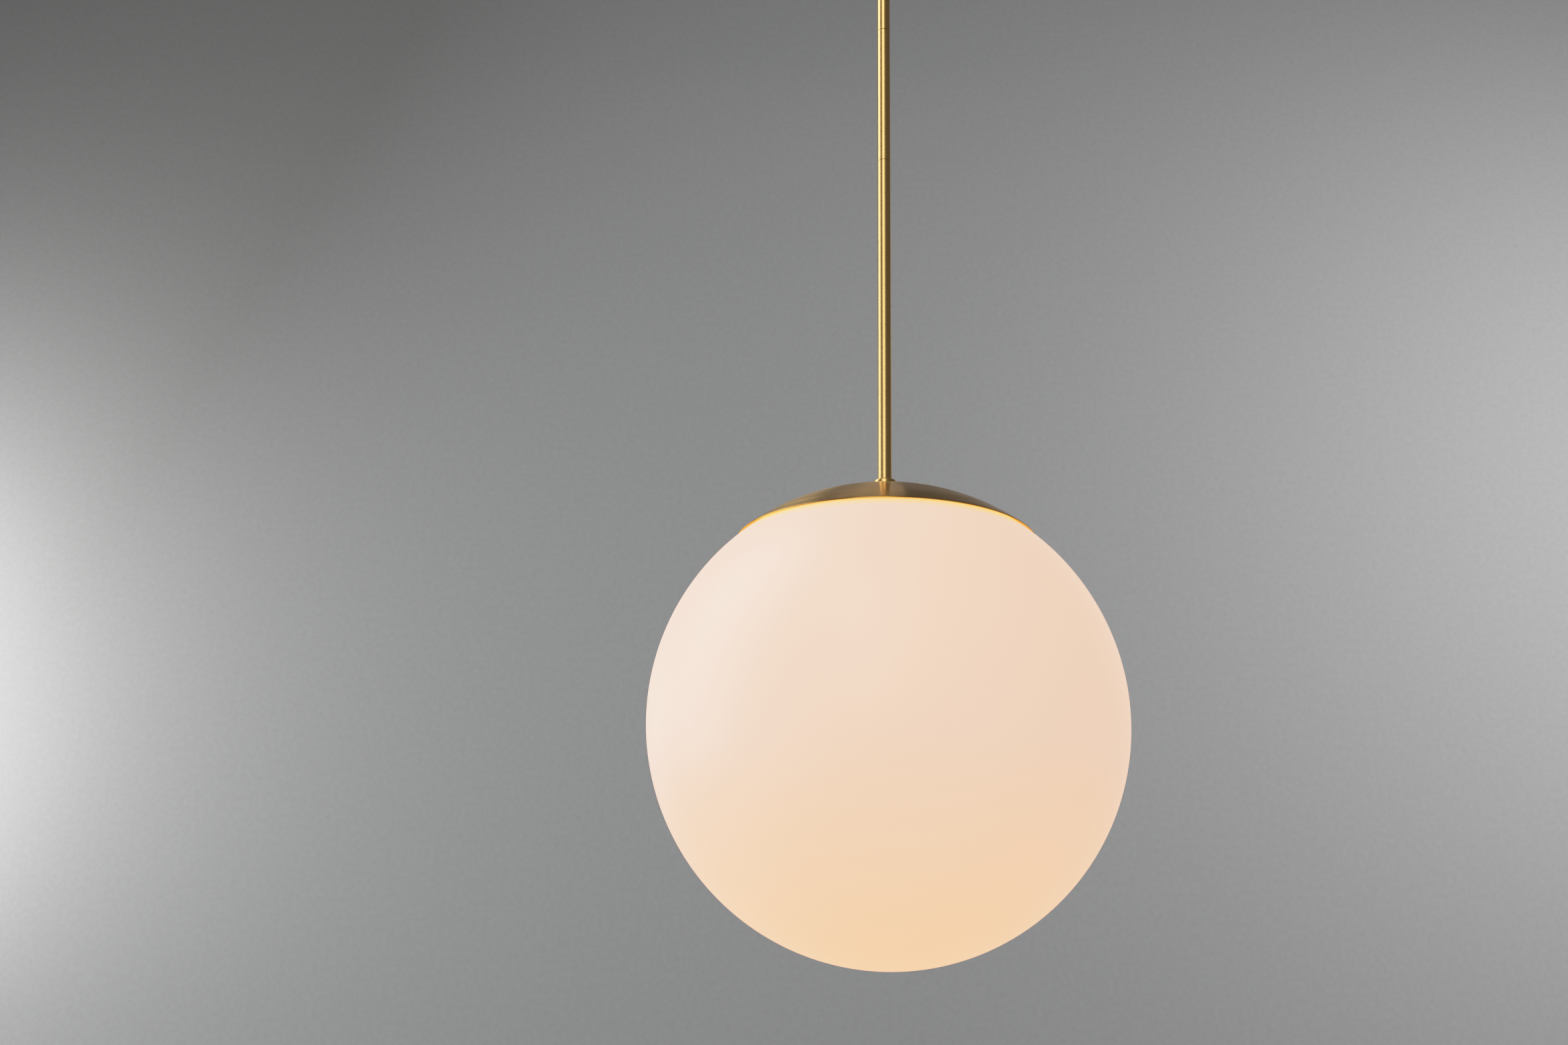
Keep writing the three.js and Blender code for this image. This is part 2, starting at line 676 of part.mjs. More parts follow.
// The soft sleeve that lines the glass edge and turns out under it.
function globeEdgeGasket() {
  const outline = [
    [74, 181.8],
    [79.5, 180.6],
    [79.5, 181.6],
    [75.8, 183.2],
    [75.8, 187.8],
    [75.3, 188.3],
    [74, 188.3],
  ];
  return revolve(outline, FINE);
}

// The spun brass dome that caps the globe.
function domeCap() {
  const innerRadius = DOME_RADIUS - DOME_SHEET;
  const rim = polarAngle(DOME_RADIUS, DOME_RIM_RADIUS);
  const outside = arc(DOME_RADIUS, polarAngle(DOME_RADIUS, DOME_HOLE_RADIUS), rim, 8, -DOME_DROP);
  const inside = arc(innerRadius, rim, polarAngle(innerRadius, DOME_HOLE_RADIUS), 8, -DOME_DROP);
  return revolve([...outside, ...inside], FINE);
}

// The flanged sleeve that guides the dome on the stem.
function domeBushing() {
  const bore = STEM_RADIUS + RUNNING_GAP;
  const flange = BUSHING_TOP - 1;
  const outline = [
    [bore, BUSHING_FOOT],
    [8.2, BUSHING_FOOT],
    [8.2, flange],
    [9.6, flange],
    [9.6, BUSHING_TOP],
    [bore, BUSHING_TOP],
  ];
  return revolve(outline, MEDIUM);
}

// The round-topped collar that clamps to the stem above the dome.
function slipCollar() {
  const bore = STEM_RADIUS + RUNNING_GAP;
  const outline = [
    [bore, COLLAR_FOOT],
    [COLLAR_RADIUS - 0.3, COLLAR_FOOT],
    [COLLAR_RADIUS, COLLAR_FOOT + 0.4],
    [COLLAR_RADIUS, COLLAR_TOP - 2.2],
    [COLLAR_RADIUS - 0.3, COLLAR_TOP - 1.2],
    [COLLAR_RADIUS - 1.1, COLLAR_TOP - 0.4],
    [COLLAR_RADIUS - 2.1, COLLAR_TOP],
    [bore, COLLAR_TOP],
  ];
  return cut(revolve(outline, MEDIUM), [rodAlongY(2.3, 4, 14, SMALL, 0, COLLAR_SCREW_HEIGHT)]);
}

// The grub screw in the back of the collar, with a hexagon socket.
function collarSetScrew() {
  const near = STEM_RADIUS + 0.5;
  const far = COLLAR_RADIUS - 0.1;
  const screw = rodAlongY(1.9, near, far, 12, 0, COLLAR_SCREW_HEIGHT);
  const socket = rodAlongY(1.1, far - 1.4, far + 1, 6, 0, COLLAR_SCREW_HEIGHT);
  return cut(screw, [socket]);
}

function addGlobeAndDome(head) {
  addPiece(head, "glass_globe", glassGlobe(), OPAL_GLASS);
  addPiece(head, "globe_edge_gasket", globeEdgeGasket(), SILICONE);
  addPiece(head, "dome_cap", domeCap(), SATIN_BRASS);
  addPiece(head, "dome_bushing", domeBushing(), NYLON);
  addPiece(head, "slip_collar", slipCollar(), POLISHED_BRASS);
  addPiece(head, "collar_set_screw", collarSetScrew(), ZINC_STEEL);
}

// ---------------------------------------------------------------- assembly

const pendant = new THREE.Group();
addCeilingHardware(pendant);
addWiring(pendant);

const lightHead = new THREE.Group();
lightHead.position.z = GLOBE_CENTRE_Z;
addStem(lightHead);
addHolder(lightHead);
addLatches(lightHead);
addLampholder(lightHead);
addBulb(lightHead);
addGlobeAndDome(lightHead);
pendant.add(lightHead);

export default pendant;
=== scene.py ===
"""A stem-hung pendant light: an opal glass globe under a spun brass dome.

Lengths in outlines are millimetres, and MM turns them into the scene's metres. Heights of the
light head are measured from the centre of the globe, and heights of the ceiling fitting from
the ceiling face, which is the frame's origin.
"""
import json
import math

import bmesh
import bpy
from mathutils import Matrix, Vector


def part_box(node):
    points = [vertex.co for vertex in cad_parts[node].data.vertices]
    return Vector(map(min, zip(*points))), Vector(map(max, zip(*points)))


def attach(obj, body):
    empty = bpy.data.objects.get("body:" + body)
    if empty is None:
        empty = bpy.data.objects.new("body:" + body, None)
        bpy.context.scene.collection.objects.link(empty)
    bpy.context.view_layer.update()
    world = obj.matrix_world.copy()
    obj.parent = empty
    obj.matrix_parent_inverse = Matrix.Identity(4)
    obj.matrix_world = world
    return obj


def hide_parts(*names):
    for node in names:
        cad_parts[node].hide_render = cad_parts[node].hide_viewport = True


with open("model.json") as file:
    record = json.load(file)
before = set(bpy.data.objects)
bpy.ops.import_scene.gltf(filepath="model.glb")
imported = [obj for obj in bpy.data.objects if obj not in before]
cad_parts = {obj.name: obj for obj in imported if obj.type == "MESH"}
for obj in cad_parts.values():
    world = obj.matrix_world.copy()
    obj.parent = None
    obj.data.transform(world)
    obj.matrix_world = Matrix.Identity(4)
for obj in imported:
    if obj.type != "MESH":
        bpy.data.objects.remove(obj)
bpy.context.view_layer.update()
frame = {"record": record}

MM = 0.001
RECORD = frame["record"]
BODY_OF = {n: body for body, nodes in RECORD["behaviour"]["bodies"].items() for n in nodes}


def size(node):
    low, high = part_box(node)
    return high - low


def span(node, datum=0.0):
    """A node's lowest and highest height above a datum, in millimetres."""
    low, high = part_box(node)
    return (low.z - datum) / MM, (high.z - datum) / MM


def radius(node):
    """Half the wider side of a round node, in millimetres."""
    return max(size(node).x, size(node).y) / 2 / MM


def middle(node):
    """The centre of a node's box, in metres."""
    low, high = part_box(node)
    return (low + high) / 2


# ------------------------------------------------------------ sizes, in millimetres

GLOBE_RADIUS = radius("glass_globe")
GLOBE_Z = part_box("glass_globe")[0].z + GLOBE_RADIUS * MM
GLASS_WALL = 4.0
GLOBE_HOLE = 76.2
DOME_RADIUS = 208.0
DOME_CENTRE = -3.6
DOME_RIM = radius("dome_cap")
DOME_SHEET = 0.9
DOME_HOLE = 8.6
STEM_RADIUS = radius("stem_lower")
STEM_BORE = 5.25
THREAD_RADIUS = 4.9
THREAD_BORE = 3.6
RUNNING_BORE = STEM_RADIUS + 0.4
THREAD_HOLE = THREAD_RADIUS + 0.3
PIPE_PITCH = 0.94  # 27 threads to the inch
BALL_RADIUS = 12.0
BALL_TOP = 9.4  # the ball's two flats, above and below its centre
BALL_FOOT = -10.3
SWIVEL_Z = -0.036  # the ball's centre below the ceiling, in metres
CANOPY_RADIUS = radius("canopy")
CANOPY_SHEET = 1.2
CANOPY_EDGE = 6.0
SOCKET_RADIUS = 17.5
BOX_SLOT_X = 44.45  # the slots for the ceiling box's screws
WIRE_RADIUS = 1.1
CABLE_RADIUS = 3.0
NUT_CORNER = 9.2  # from the axis of a pipe nut to its corners
STEM_SEAT = 195.1  # the ledge in the hub, just under the stem
PAN_SHEET = 1.5
LATCH_REACH = 22.0  # from a latch's pivot to the middle of its round end
BULB_RADIUS = 30.0
BULB_CENTRE = 78.0
BULB_WALL = 1.2
BULB_SEAM = 20.0  # where the diffuser ends, above the bulb's centre
LAMP_PITCH = 3.63  # 7 threads to the inch
SHARP_ANGLE = math.radians(32)
HEAD = (0, 0, GLOBE_Z)
SWIVEL = (0, 0, SWIVEL_Z)

# ------------------------------------------------------------ mesh helpers


def rounded(corners, steps=5):
    """An outline whose corners are rounded. A corner is (radius, height) or, with a rounding
    that starts that far from the corner, (radius, height, rounding). Long sides get a point
    near each rounding, so that smooth shading doesn't bend them."""
    outline = []
    for i, corner in enumerate(corners):
        here = Vector(corner[:2])
        if len(corner) == 2:
            outline.append(tuple(here))
            continue
        before = Vector(corners[i - 1][:2]) - here
        after = Vector(corners[(i + 1) % len(corners)][:2]) - here
        start = here + before.normalized() * min(corner[2], before.length * 0.48)
        end = here + after.normalized() * min(corner[2], after.length * 0.48)
        if before.length > 8 * corner[2]:
            outline.append(tuple(here + before.normalized() * corner[2] * 3))
        for k in range(steps + 1):
            t = k / steps
            outline.append(tuple(start * (1 - t) ** 2 + here * 2 * t * (1 - t) + end * t ** 2))
        if after.length > 8 * corner[2]:
            outline.append(tuple(here + after.normalized() * corner[2] * 3))
    return outline


def arc(arc_radius, first, last, steps, height=0.0):
    """(radius, height) points on a circle about the axis, by polar angle from +Z in degrees."""
    points = []
    for i in range(steps + 1):
        degrees = first + (last - first) * i / steps
        away = 0.0 if degrees in (0, 180) else arc_radius * math.sin(math.radians(degrees))
        points.append((away, height + arc_radius * math.cos(math.radians(degrees))))
    return points


def polar(sphere_radius, away):
    """The polar angle in degrees at which a sphere is that far from the axis."""
    return math.degrees(math.asin(away / sphere_radius))


def to_object(name, mesh, at=(0, 0, 0)):
    """An object from a bmesh in millimetres, which it uses up."""
    bmesh.ops.remove_doubles(mesh, verts=mesh.verts, dist=1e-4)
    bmesh.ops.recalc_face_normals(mesh, faces=mesh.faces)
    bmesh.ops.scale(mesh, vec=(MM, MM, MM), verts=mesh.verts)
    data = bpy.data.meshes.new(name)
    mesh.to_mesh(data)
    mesh.free()
    return place(name, data, at)


def place(name, data, at=(0, 0, 0)):
    """A smooth-shaded object that shows a mesh, keeping its sharp edges."""
    data.shade_smooth()
    data.set_sharp_from_angle(angle=SHARP_ANGLE)
    made = bpy.data.objects.new(name, data)
    made.location = at
    bpy.context.scene.collection.objects.link(made)
    return made


def revolved(outline, sides=96):
    """A bmesh made by turning an outline of (radius, height) points about Z. It closes on
    itself unless both of its ends are on the axis."""
    mesh = bmesh.new()
    open_ended = outline[0][0] == 0 and outline[-1][0] == 0
    rings = []
    for away, height in outline:
        turns = [2 * math.pi * i / sides for i in range(1 if away == 0 else sides)]
        rings.append([mesh.verts.new((away * math.cos(t), away * math.sin(t), height)) for t in turns])
    following = rings[1:] if open_ended else rings[1:] + rings[:1]
    for ring, upper in zip(rings, following):
        for i in range(sides):
            j = (i + 1) % sides
            near = (ring[i % len(ring)], ring[j % len(ring)])
            far = (upper[j % len(upper)], upper[i % len(upper)])
            corners = list(dict.fromkeys(near + far))
            if len(corners) > 2:
                mesh.faces.new(corners)
    return mesh


def spun(name, corners, at=(0, 0, 0), sides=96):
    """A turned piece from an outline with rounded corners."""
    return to_object(name, revolved(rounded(corners), sides), at)


def tube_mesh(outer, inner, low, high):
    """A bmesh of a round tube with eased ends."""
    edge = 0.3
    corners = [(inner, low, edge), (outer, low, edge), (outer, high, edge), (inner, high, edge)]
    return revolved(rounded(corners, 3), 128)


def shape_outer(mesh, least_radius, change):
    """Moves the vertices outside least_radius along their radius. change(angle, height) is the
    distance to move inwards."""
    for vertex in mesh.verts:
        away = math.hypot(vertex.co.x, vertex.co.y)
        if away < least_radius:
            continue
        inwards = change(math.atan2(vertex.co.y, vertex.co.x), vertex.co.z)
        vertex.co.x *= (away - inwards) / away
        vertex.co.y *= (away - inwards) / away


def screw_thread(crest, depth, pitch, low, high, bore=0.0, sides=48):
    """A bmesh of a threaded rod, hollow if it has a bore, with a true helix on its outside."""
    rows = max(8, round((high - low) / pitch * 8))
    side = [(crest, low + (high - low) * i / rows) for i in range(rows + 1)]
    ends = [(crest - depth, high), (bore, high), (bore, low), (crest - depth, low)]
    if not bore:
        side = [(0.0, low), (crest - depth, low)] + side
        ends = [(crest - depth, high), (0.0, high)]
    mesh = revolved(side + ends, sides)

    def groove(angle, height):
        fade = min(1, (height - low) / pitch, (high - height) / pitch)
        wave = 0.5 - 0.5 * math.cos(2 * math.pi * (height / pitch - angle / (2 * math.pi)))
        return depth * (1 - fade * (1 - wave))

    shape_outer(mesh, crest - depth / 2, groove)
    return mesh


def pipe_thread(low, high):
    """A bmesh of the hollow threaded rod that the fittings screw onto."""
    return screw_thread(THREAD_RADIUS, 0.45, PIPE_PITCH, low, high, THREAD_BORE)


def circle_points(away, count, centre=(0, 0), start=0.0):
    """(x, y) points round a circle, the first of them at the start angle."""
    turns = [start + 2 * math.pi * i / count for i in range(count)]
    return [(centre[0] + away * math.cos(t), centre[1] + away * math.sin(t)) for t in turns]


def plate(name, outlines, low, high, edge, at=(0, 0, 0)):
    """A flat plate with softened edges. The first outline is its rim, and the rest are holes."""
    curve = bpy.data.curves.new(name, "CURVE")
    curve.dimensions = "2D"
    curve.fill_mode = "BOTH"
    curve.extrude = ((high - low) / 2 - edge) * MM
    curve.bevel_depth = edge * MM
    curve.offset = -edge * MM
    curve.bevel_resolution = 2
    for outline in outlines:
        spline = curve.splines.new("POLY")
        spline.points.add(len(outline) - 1)
        for point, (x, y) in zip(spline.points, outline):
            point.co = (x * MM, y * MM, 0, 1)
        spline.use_cyclic_u = True
    holder = bpy.data.objects.new(name, curve)
    bpy.context.scene.collection.objects.link(holder)
    data = baked(holder)
    bpy.data.objects.remove(holder)
    bpy.data.curves.remove(curve)
    data.transform(Matrix.Translation((0, 0, (low + high) / 2 * MM)))
    mesh = bmesh.new()
    mesh.from_mesh(data)
    bmesh.ops.remove_doubles(mesh, verts=mesh.verts, dist=1e-7)
    bmesh.ops.recalc_face_normals(mesh, faces=mesh.faces)
    mesh.to_mesh(data)
    mesh.free()
    return place(name, data, at)


def baked(obj):
    """A copy of the object's mesh with its modifiers applied."""
    graph = bpy.context.evaluated_depsgraph_get()
    return bpy.data.meshes.new_from_object(obj.evaluated_get(graph))


def carve(obj, tools):
    """Cuts the tools out of the object and deletes them."""
    for tool in tools:
        cutter = obj.modifiers.new("cut", "BOOLEAN")
        cutter.object = tool
        cutter.operation = "DIFFERENCE"
        cutter.solver = "EXACT"
    obj.data = baked(obj)
    obj.modifiers.clear()
    obj.data.shade_smooth()
    obj.data.set_sharp_from_angle(angle=SHARP_ANGLE)
    for tool in tools:
        bpy.data.objects.remove(tool)
    return obj


def merge(first, *others):
    """Puts the meshes of several objects into the first one."""
    mesh = bmesh.new()
    mesh.from_mesh(first.data)
    for other in others:
        data = other.data.copy()
        data.transform(first.matrix_basis.inverted() @ other.matrix_basis)
        mesh.from_mesh(data)
        bpy.data.objects.remove(other)
    mesh.to_mesh(first.data)
    mesh.free()
    first.data.set_sharp_from_angle(angle=SHARP_ANGLE)
    return first


def rod(name, away, low, high, at):
    """A solid round rod, used for cutting holes."""
    return to_object(name, revolved([(0.0, low), (away, low), (away, high), (0.0, high)], 48), at)


def finished(piece, node, *materials):
    """Gives a piece its materials and body, and hides the CAD node whose place it takes."""
    piece.data.materials.clear()
    for material in materials:
        piece.data.materials.append(material)
    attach(piece, BODY_OF[node])
    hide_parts(node)


# ------------------------------------------------------------ material helpers


def add(tree, kind, inputs=None, **properties):
    """Adds a shader node. An input may be a value or another node's output."""
    made = tree.nodes.new(kind)
    for name, value in properties.items():
        setattr(made, name, value)
    for name, value in (inputs or {}).items():
        if isinstance(value, bpy.types.NodeSocket):
            tree.links.new(value, made.inputs[name])
        else:
            made.inputs[name].default_value = value
    return made


def principled(name, **values):
    """A new material, its node tree and its shader. Values are the shader's own sockets, with
    an underscore for a space."""
    material = bpy.data.materials.new(name)
    material.use_nodes = True
    shader = material.node_tree.nodes["Principled BSDF"]
    for socket, value in values.items():
        shader.inputs[socket.replace("_", " ")].default_value = value
    return material, material.node_tree, shader


def noise(tree, vector, scale, detail=4.0, roughness=0.55):
    """A smooth random number that varies with the place."""
    inputs = {"Vector": vector, "Scale": scale, "Detail": detail, "Roughness": roughness}
    return add(tree, "ShaderNodeTexNoise", inputs).outputs["Fac"]


def between(tree, factor, low, high, start=0.3, end=0.7):
    """A number that goes from low to high as the factor goes from start to end."""
    inputs = {"Value": factor, "From Min": start, "From Max": end, "To Min": low, "To Max": high}
    return add(tree, "ShaderNodeMapRange", inputs).outputs["Result"]


def blend_colour(tree, factor, first, second):
    """A colour that goes from the first to the second with the factor."""
    inputs = {0: between(tree, factor, 0.0, 1.0), 6: (*first, 1), 7: (*second, 1)}
    return add(tree, "ShaderNodeMix", inputs, data_type="RGBA").outputs[2]


def object_place(tree):
    return add(tree, "ShaderNodeTexCoord").outputs["Object"]


def turned_place(tree, around, along):
    """Coordinates in which noise forms rings about the piece's axis, without a seam."""
    parts = add(tree, "ShaderNodeSeparateXYZ", {"Vector": object_place(tree)}).outputs
    flat = add(tree, "ShaderNodeCombineXYZ", {"X": parts["X"], "Y": parts["Y"]}).outputs["Vector"]
    away = add(tree, "ShaderNodeVectorMath", {0: flat}, operation="LENGTH").outputs["Value"]
    turn = add(tree, "ShaderNodeVectorMath", {0: flat}, operation="NORMALIZE").outputs["Vector"]
    turn = add(tree, "ShaderNodeVectorMath", {0: turn, "Scale": around}, operation="SCALE").outputs["Vector"]
    turn = add(tree, "ShaderNodeSeparateXYZ", {"Vector": turn}).outputs
    slope = {0: parts["Z"], 1: 1.6, 2: away}
    profile = add(tree, "ShaderNodeMath", slope, operation="MULTIPLY_ADD").outputs[0]
    profile = add(tree, "ShaderNodeMath", {0: profile, 1: along}, operation="MULTIPLY").outputs[0]
    return add(tree, "ShaderNodeCombineXYZ", {"X": turn["X"], "Y": turn["Y"], "Z": profile}).outputs["Vector"]


def bump(tree, shader, height, strength, distance):
    """Gives a shader's surface a fine relief."""
    inputs = {"Height": height, "Strength": strength, "Distance": distance}
    tree.links.new(add(tree, "ShaderNodeBump", inputs).outputs["Normal"], shader.inputs["Normal"])


def turned_metal(name, light, dark, gloss, grain, relief, anisotropy, rotation=0.25, spread=0.055):
    """Metal finished on a lathe: fine rings and a slow change of tone."""
    material, tree, shader = principled(
        name, Metallic=1.0, Anisotropic=anisotropy, Anisotropic_Rotation=rotation)
    rings = noise(tree, turned_place(tree, 1.4, grain), 1.0, 5.0, 0.6)
    clouds = noise(tree, object_place(tree), 22.0, 5.0)
    uneven = add(tree, "ShaderNodeMix", {0: 0.6, 2: clouds, 3: rings}).outputs[0]
    tree.links.new(blend_colour(tree, uneven, dark, light), shader.inputs["Base Color"])
    tree.links.new(between(tree, uneven, gloss - spread, gloss + spread), shader.inputs["Roughness"])
    bump(tree, shader, rings, relief, 0.00012)
    tangent = add(tree, "ShaderNodeTangent", direction_type="RADIAL", axis="Z")
    tree.links.new(tangent.outputs["Tangent"], shader.inputs["Tangent"])
    return material


def cast_metal(name, light, dark, gloss, scale, relief=0.1):
    """Plated or pressed metal with a fine crystalline mottle."""
    material, tree, shader = principled(name, Metallic=1.0)
    mottle = noise(tree, object_place(tree), scale, 6.0, 0.65)
    tree.links.new(blend_colour(tree, mottle, dark, light), shader.inputs["Base Color"])
    tree.links.new(between(tree, mottle, gloss - 0.06, gloss + 0.08), shader.inputs["Roughness"])
    bump(tree, shader, mottle, relief, 0.0001)
    return material


def soft_material(name, light, dark, gloss, scale, relief=0.15, **values):
    """Plastic, rubber or glaze with a faint mould texture and change of tone."""
    material, tree, shader = principled(name, **values)
    fine = noise(tree, object_place(tree), scale, 4.0, 0.6)
    slow = noise(tree, object_place(tree), scale / 25, 3.0)
    tree.links.new(blend_colour(tree, slow, dark, light), shader.inputs["Base Color"])
    tree.links.new(between(tree, fine, gloss - 0.05, gloss + 0.07), shader.inputs["Roughness"])
    bump(tree, shader, fine, relief, 0.00015)
    return material


GLOW = (0.825, 0.505, 0.370)
# Painted shade: the glow's deeper orange towards the globe's foot, where less daylight reaches.
FOOT_SHADE_GLOW = (1.0, 0.508, 0.278)
# Painted light: the yellow glow near the dome's rim, light bounced between the brass and the glass.
RIM_BOUNCE_GLOW = (1.0, 0.53, 0.13)


def opal_glass():
    """Opal glass with a satin skin. No light passes through it: it shines a little by itself. Its glow is
    painted a deeper orange towards the foot, painted shade where less daylight reaches, and painted yellow
    near the dome's rim, painted light bounced between the glass and the dome's brass. The painted yellow
    stays when the dome is raised."""
    material, tree, shader = principled(
        "opal_glass", Roughness=0.42, IOR=1.45, Emission_Strength=1.15)
    place_in_glass = object_place(tree)
    flashing = noise(tree, place_in_glass, 5.0, 3.0, 0.45)
    tree.links.new(
        blend_colour(tree, flashing, (0.33, 0.327, 0.32), (0.37, 0.367, 0.36)), shader.inputs["Base Color"])
    height = add(tree, "ShaderNodeSeparateXYZ", {"Vector": place_in_glass}).outputs["Z"]
    uneven = {0: flashing, 1: 0.05, 2: height}
    drift = add(tree, "ShaderNodeMath", uneven, operation="MULTIPLY_ADD").outputs[0]
    # Painted shade mask: the glass glows a deeper orange towards its foot.
    painted_foot_shade = between(tree, drift, 1.0, 0.0, -0.19, -0.02)
    # Painted light mask: the glass glows yellow near the dome's rim.
    painted_rim_bounce = between(tree, height, 0.0, 1.0, 0.147, 0.158)
    inputs = {0: painted_foot_shade, 6: (*GLOW, 1), 7: (*FOOT_SHADE_GLOW, 1)}
    glow = add(tree, "ShaderNodeMix", inputs, data_type="RGBA").outputs[2]
    inputs = {0: painted_rim_bounce, 6: glow, 7: (*RIM_BOUNCE_GLOW, 1)}
    glow = add(tree, "ShaderNodeMix", inputs, data_type="RGBA").outputs[2]
    tree.links.new(glow, shader.inputs["Emission Color"])
    skin = noise(tree, place_in_glass, 14.0, 2.0)
    bump(tree, shader, skin, 0.05, 0.0004)
    return material


def glowing_plastic():
    """The bulb's frosted diffuser, lit."""
    material, tree, shader = principled(
        "bulb_diffuser", Roughness=0.5, Emission_Strength=3.0, Emission_Color=(1.0, 0.78, 0.52, 1))
    frost = noise(tree, object_place(tree), 400.0, 3.0)
    tree.links.new(
        blend_colour(tree, frost, (0.82, 0.80, 0.76), (0.88, 0.86, 0.82)), shader.inputs["Base Color"])
    bump(tree, shader, frost, 0.2, 0.0001)
    return material


SATIN_BRASS = turned_metal("satin_brass", (0.88, 0.565, 0.235), (0.78, 0.475, 0.18), 0.22, 700.0, 0.12, 1.0)
# Painted light: the dome's inside is a deeper orange brass, standing in for the lit globe's glow on it.
BRASS_INSIDE_PAINTED_GLOW = turned_metal("brass_inside_painted_glow", (0.88, 0.50, 0.09), (0.82, 0.45, 0.07), 0.28, 900.0, 0.12, 0.3)
STEM_BRASS = turned_metal(
    "stem_brass", (0.97, 0.612, 0.232), (0.93, 0.572, 0.202), 0.27, 1300.0, 0.003, 0.3, 0.0, 0.012)
STEEL = cast_metal("zinc_steel", (0.66, 0.67, 0.69), (0.52, 0.53, 0.56), 0.34, 500.0)
ALUMINIUM = cast_metal("rolled_aluminium", (0.78, 0.78, 0.79), (0.68, 0.68, 0.70), 0.26, 700.0)
BRASS_STRIP = cast_metal("brass_strip", (0.80, 0.60, 0.30), (0.70, 0.50, 0.22), 0.3, 600.0)
OPAL = opal_glass()
DIFFUSER = glowing_plastic()
PORCELAIN = soft_material(
    "glazed_porcelain", (0.84, 0.83, 0.79), (0.79, 0.775, 0.73), 0.12, 300.0, 0.05, Coat_Weight=0.5)
HOUSING_PLASTIC = soft_material("housing_plastic", (0.80, 0.79, 0.76), (0.76, 0.75, 0.72), 0.42, 900.0)
NYLON = soft_material("natural_nylon", (0.74, 0.71, 0.62), (0.68, 0.65, 0.56), 0.4, 700.0)
SILICONE = soft_material("pale_silicone", (0.62, 0.60, 0.56), (0.56, 0.54, 0.50), 0.55, 900.0, 0.25)
BLACK_PVC = soft_material("black_pvc", (0.030, 0.029, 0.028), (0.020, 0.020, 0.020), 0.42, 1200.0)
WHITE_PVC = soft_material("white_pvc", (0.76, 0.75, 0.72), (0.70, 0.69, 0.66), 0.42, 1200.0)
GREEN = soft_material("green_finish", (0.045, 0.24, 0.085), (0.035, 0.19, 0.065), 0.38, 1000.0)
RED_PLASTIC = soft_material("red_plastic", (0.47, 0.065, 0.035), (0.39, 0.05, 0.028), 0.4, 900.0)
SOLDER_MASK = soft_material("white_solder_mask", (0.78, 0.79, 0.78), (0.73, 0.74, 0.73), 0.3, 900.0)
LED_YELLOW = soft_material("led_phosphor", (0.80, 0.62, 0.12), (0.74, 0.56, 0.09), 0.3, 1500.0)


# ------------------------------------------------------------ globe and dome


def make_globe():
    inside = GLOBE_RADIUS - GLASS_WALL
    outline = arc(GLOBE_RADIUS, 180, polar(GLOBE_RADIUS, GLOBE_HOLE + 0.9), 100)
    lip = [(GLOBE_HOLE + 0.2, 188.2), (GLOBE_HOLE, 187.6), (GLOBE_HOLE, 185.0), (GLOBE_HOLE + 0.2, 184.4)]
    outline += lip + arc(inside, polar(inside, GLOBE_HOLE + 1.0), 180, 90)
    globe = to_object("globe_glass", revolved(outline, 160), HEAD)
    finished(globe, "glass_globe", OPAL)


def make_gasket():
    corners = [(74, 181.8, 0.8), (79.5, 180.6, 0.4), (79.5, 181.6, 0.4), (75.8, 183.2, 0.5),
               (75.8, 188.3, 0.6), (74, 188.3, 0.6)]
    finished(spun("edge_gasket", corners, HEAD, 128), "globe_edge_gasket", SILICONE)


def make_dome():
    """The spun sheet, with its rim rounded over and a plain-cut hole at its top."""
    inside = DOME_RADIUS - DOME_SHEET
    sheet_middle = DOME_RADIUS - DOME_SHEET / 2
    rim = polar(DOME_RADIUS, DOME_RIM) - 0.06
    outline = arc(DOME_RADIUS, polar(DOME_RADIUS, DOME_HOLE), rim, 56, DOME_CENTRE)
    for k in range(1, 8):
        turn = math.pi * k / 8
        reach = sheet_middle + DOME_SHEET / 2 * math.cos(turn)
        past = math.radians(rim) + DOME_SHEET / 2 * math.sin(turn) / sheet_middle
        outline.append((reach * math.sin(past), DOME_CENTRE + reach * math.cos(past)))
    outline += arc(inside, rim, polar(inside, DOME_HOLE), 56, DOME_CENTRE)
    dome = to_object("dome_shell", revolved(outline, 192), HEAD)
    finished(dome, "dome_cap", SATIN_BRASS, BRASS_INSIDE_PAINTED_GLOW)
    for face in dome.data.polygons:
        outwards = face.center / MM - Vector((0, 0, DOME_CENTRE))
        # Inner faces get the brass with the painted orange glow.
        face.material_index = int(outwards.length < sheet_middle or face.normal.z < 0)


def make_dome_bushing():
    low, high = span("dome_bushing", GLOBE_Z)
    corners = [(RUNNING_BORE, low, 0.3), (8.2, low, 0.3), (8.2, high - 1), (9.6, high - 1, 0.2),
               (9.6, high, 0.3), (RUNNING_BORE, high, 0.2)]
    finished(spun("dome_guide", corners, HEAD, 64), "dome_bushing", NYLON)


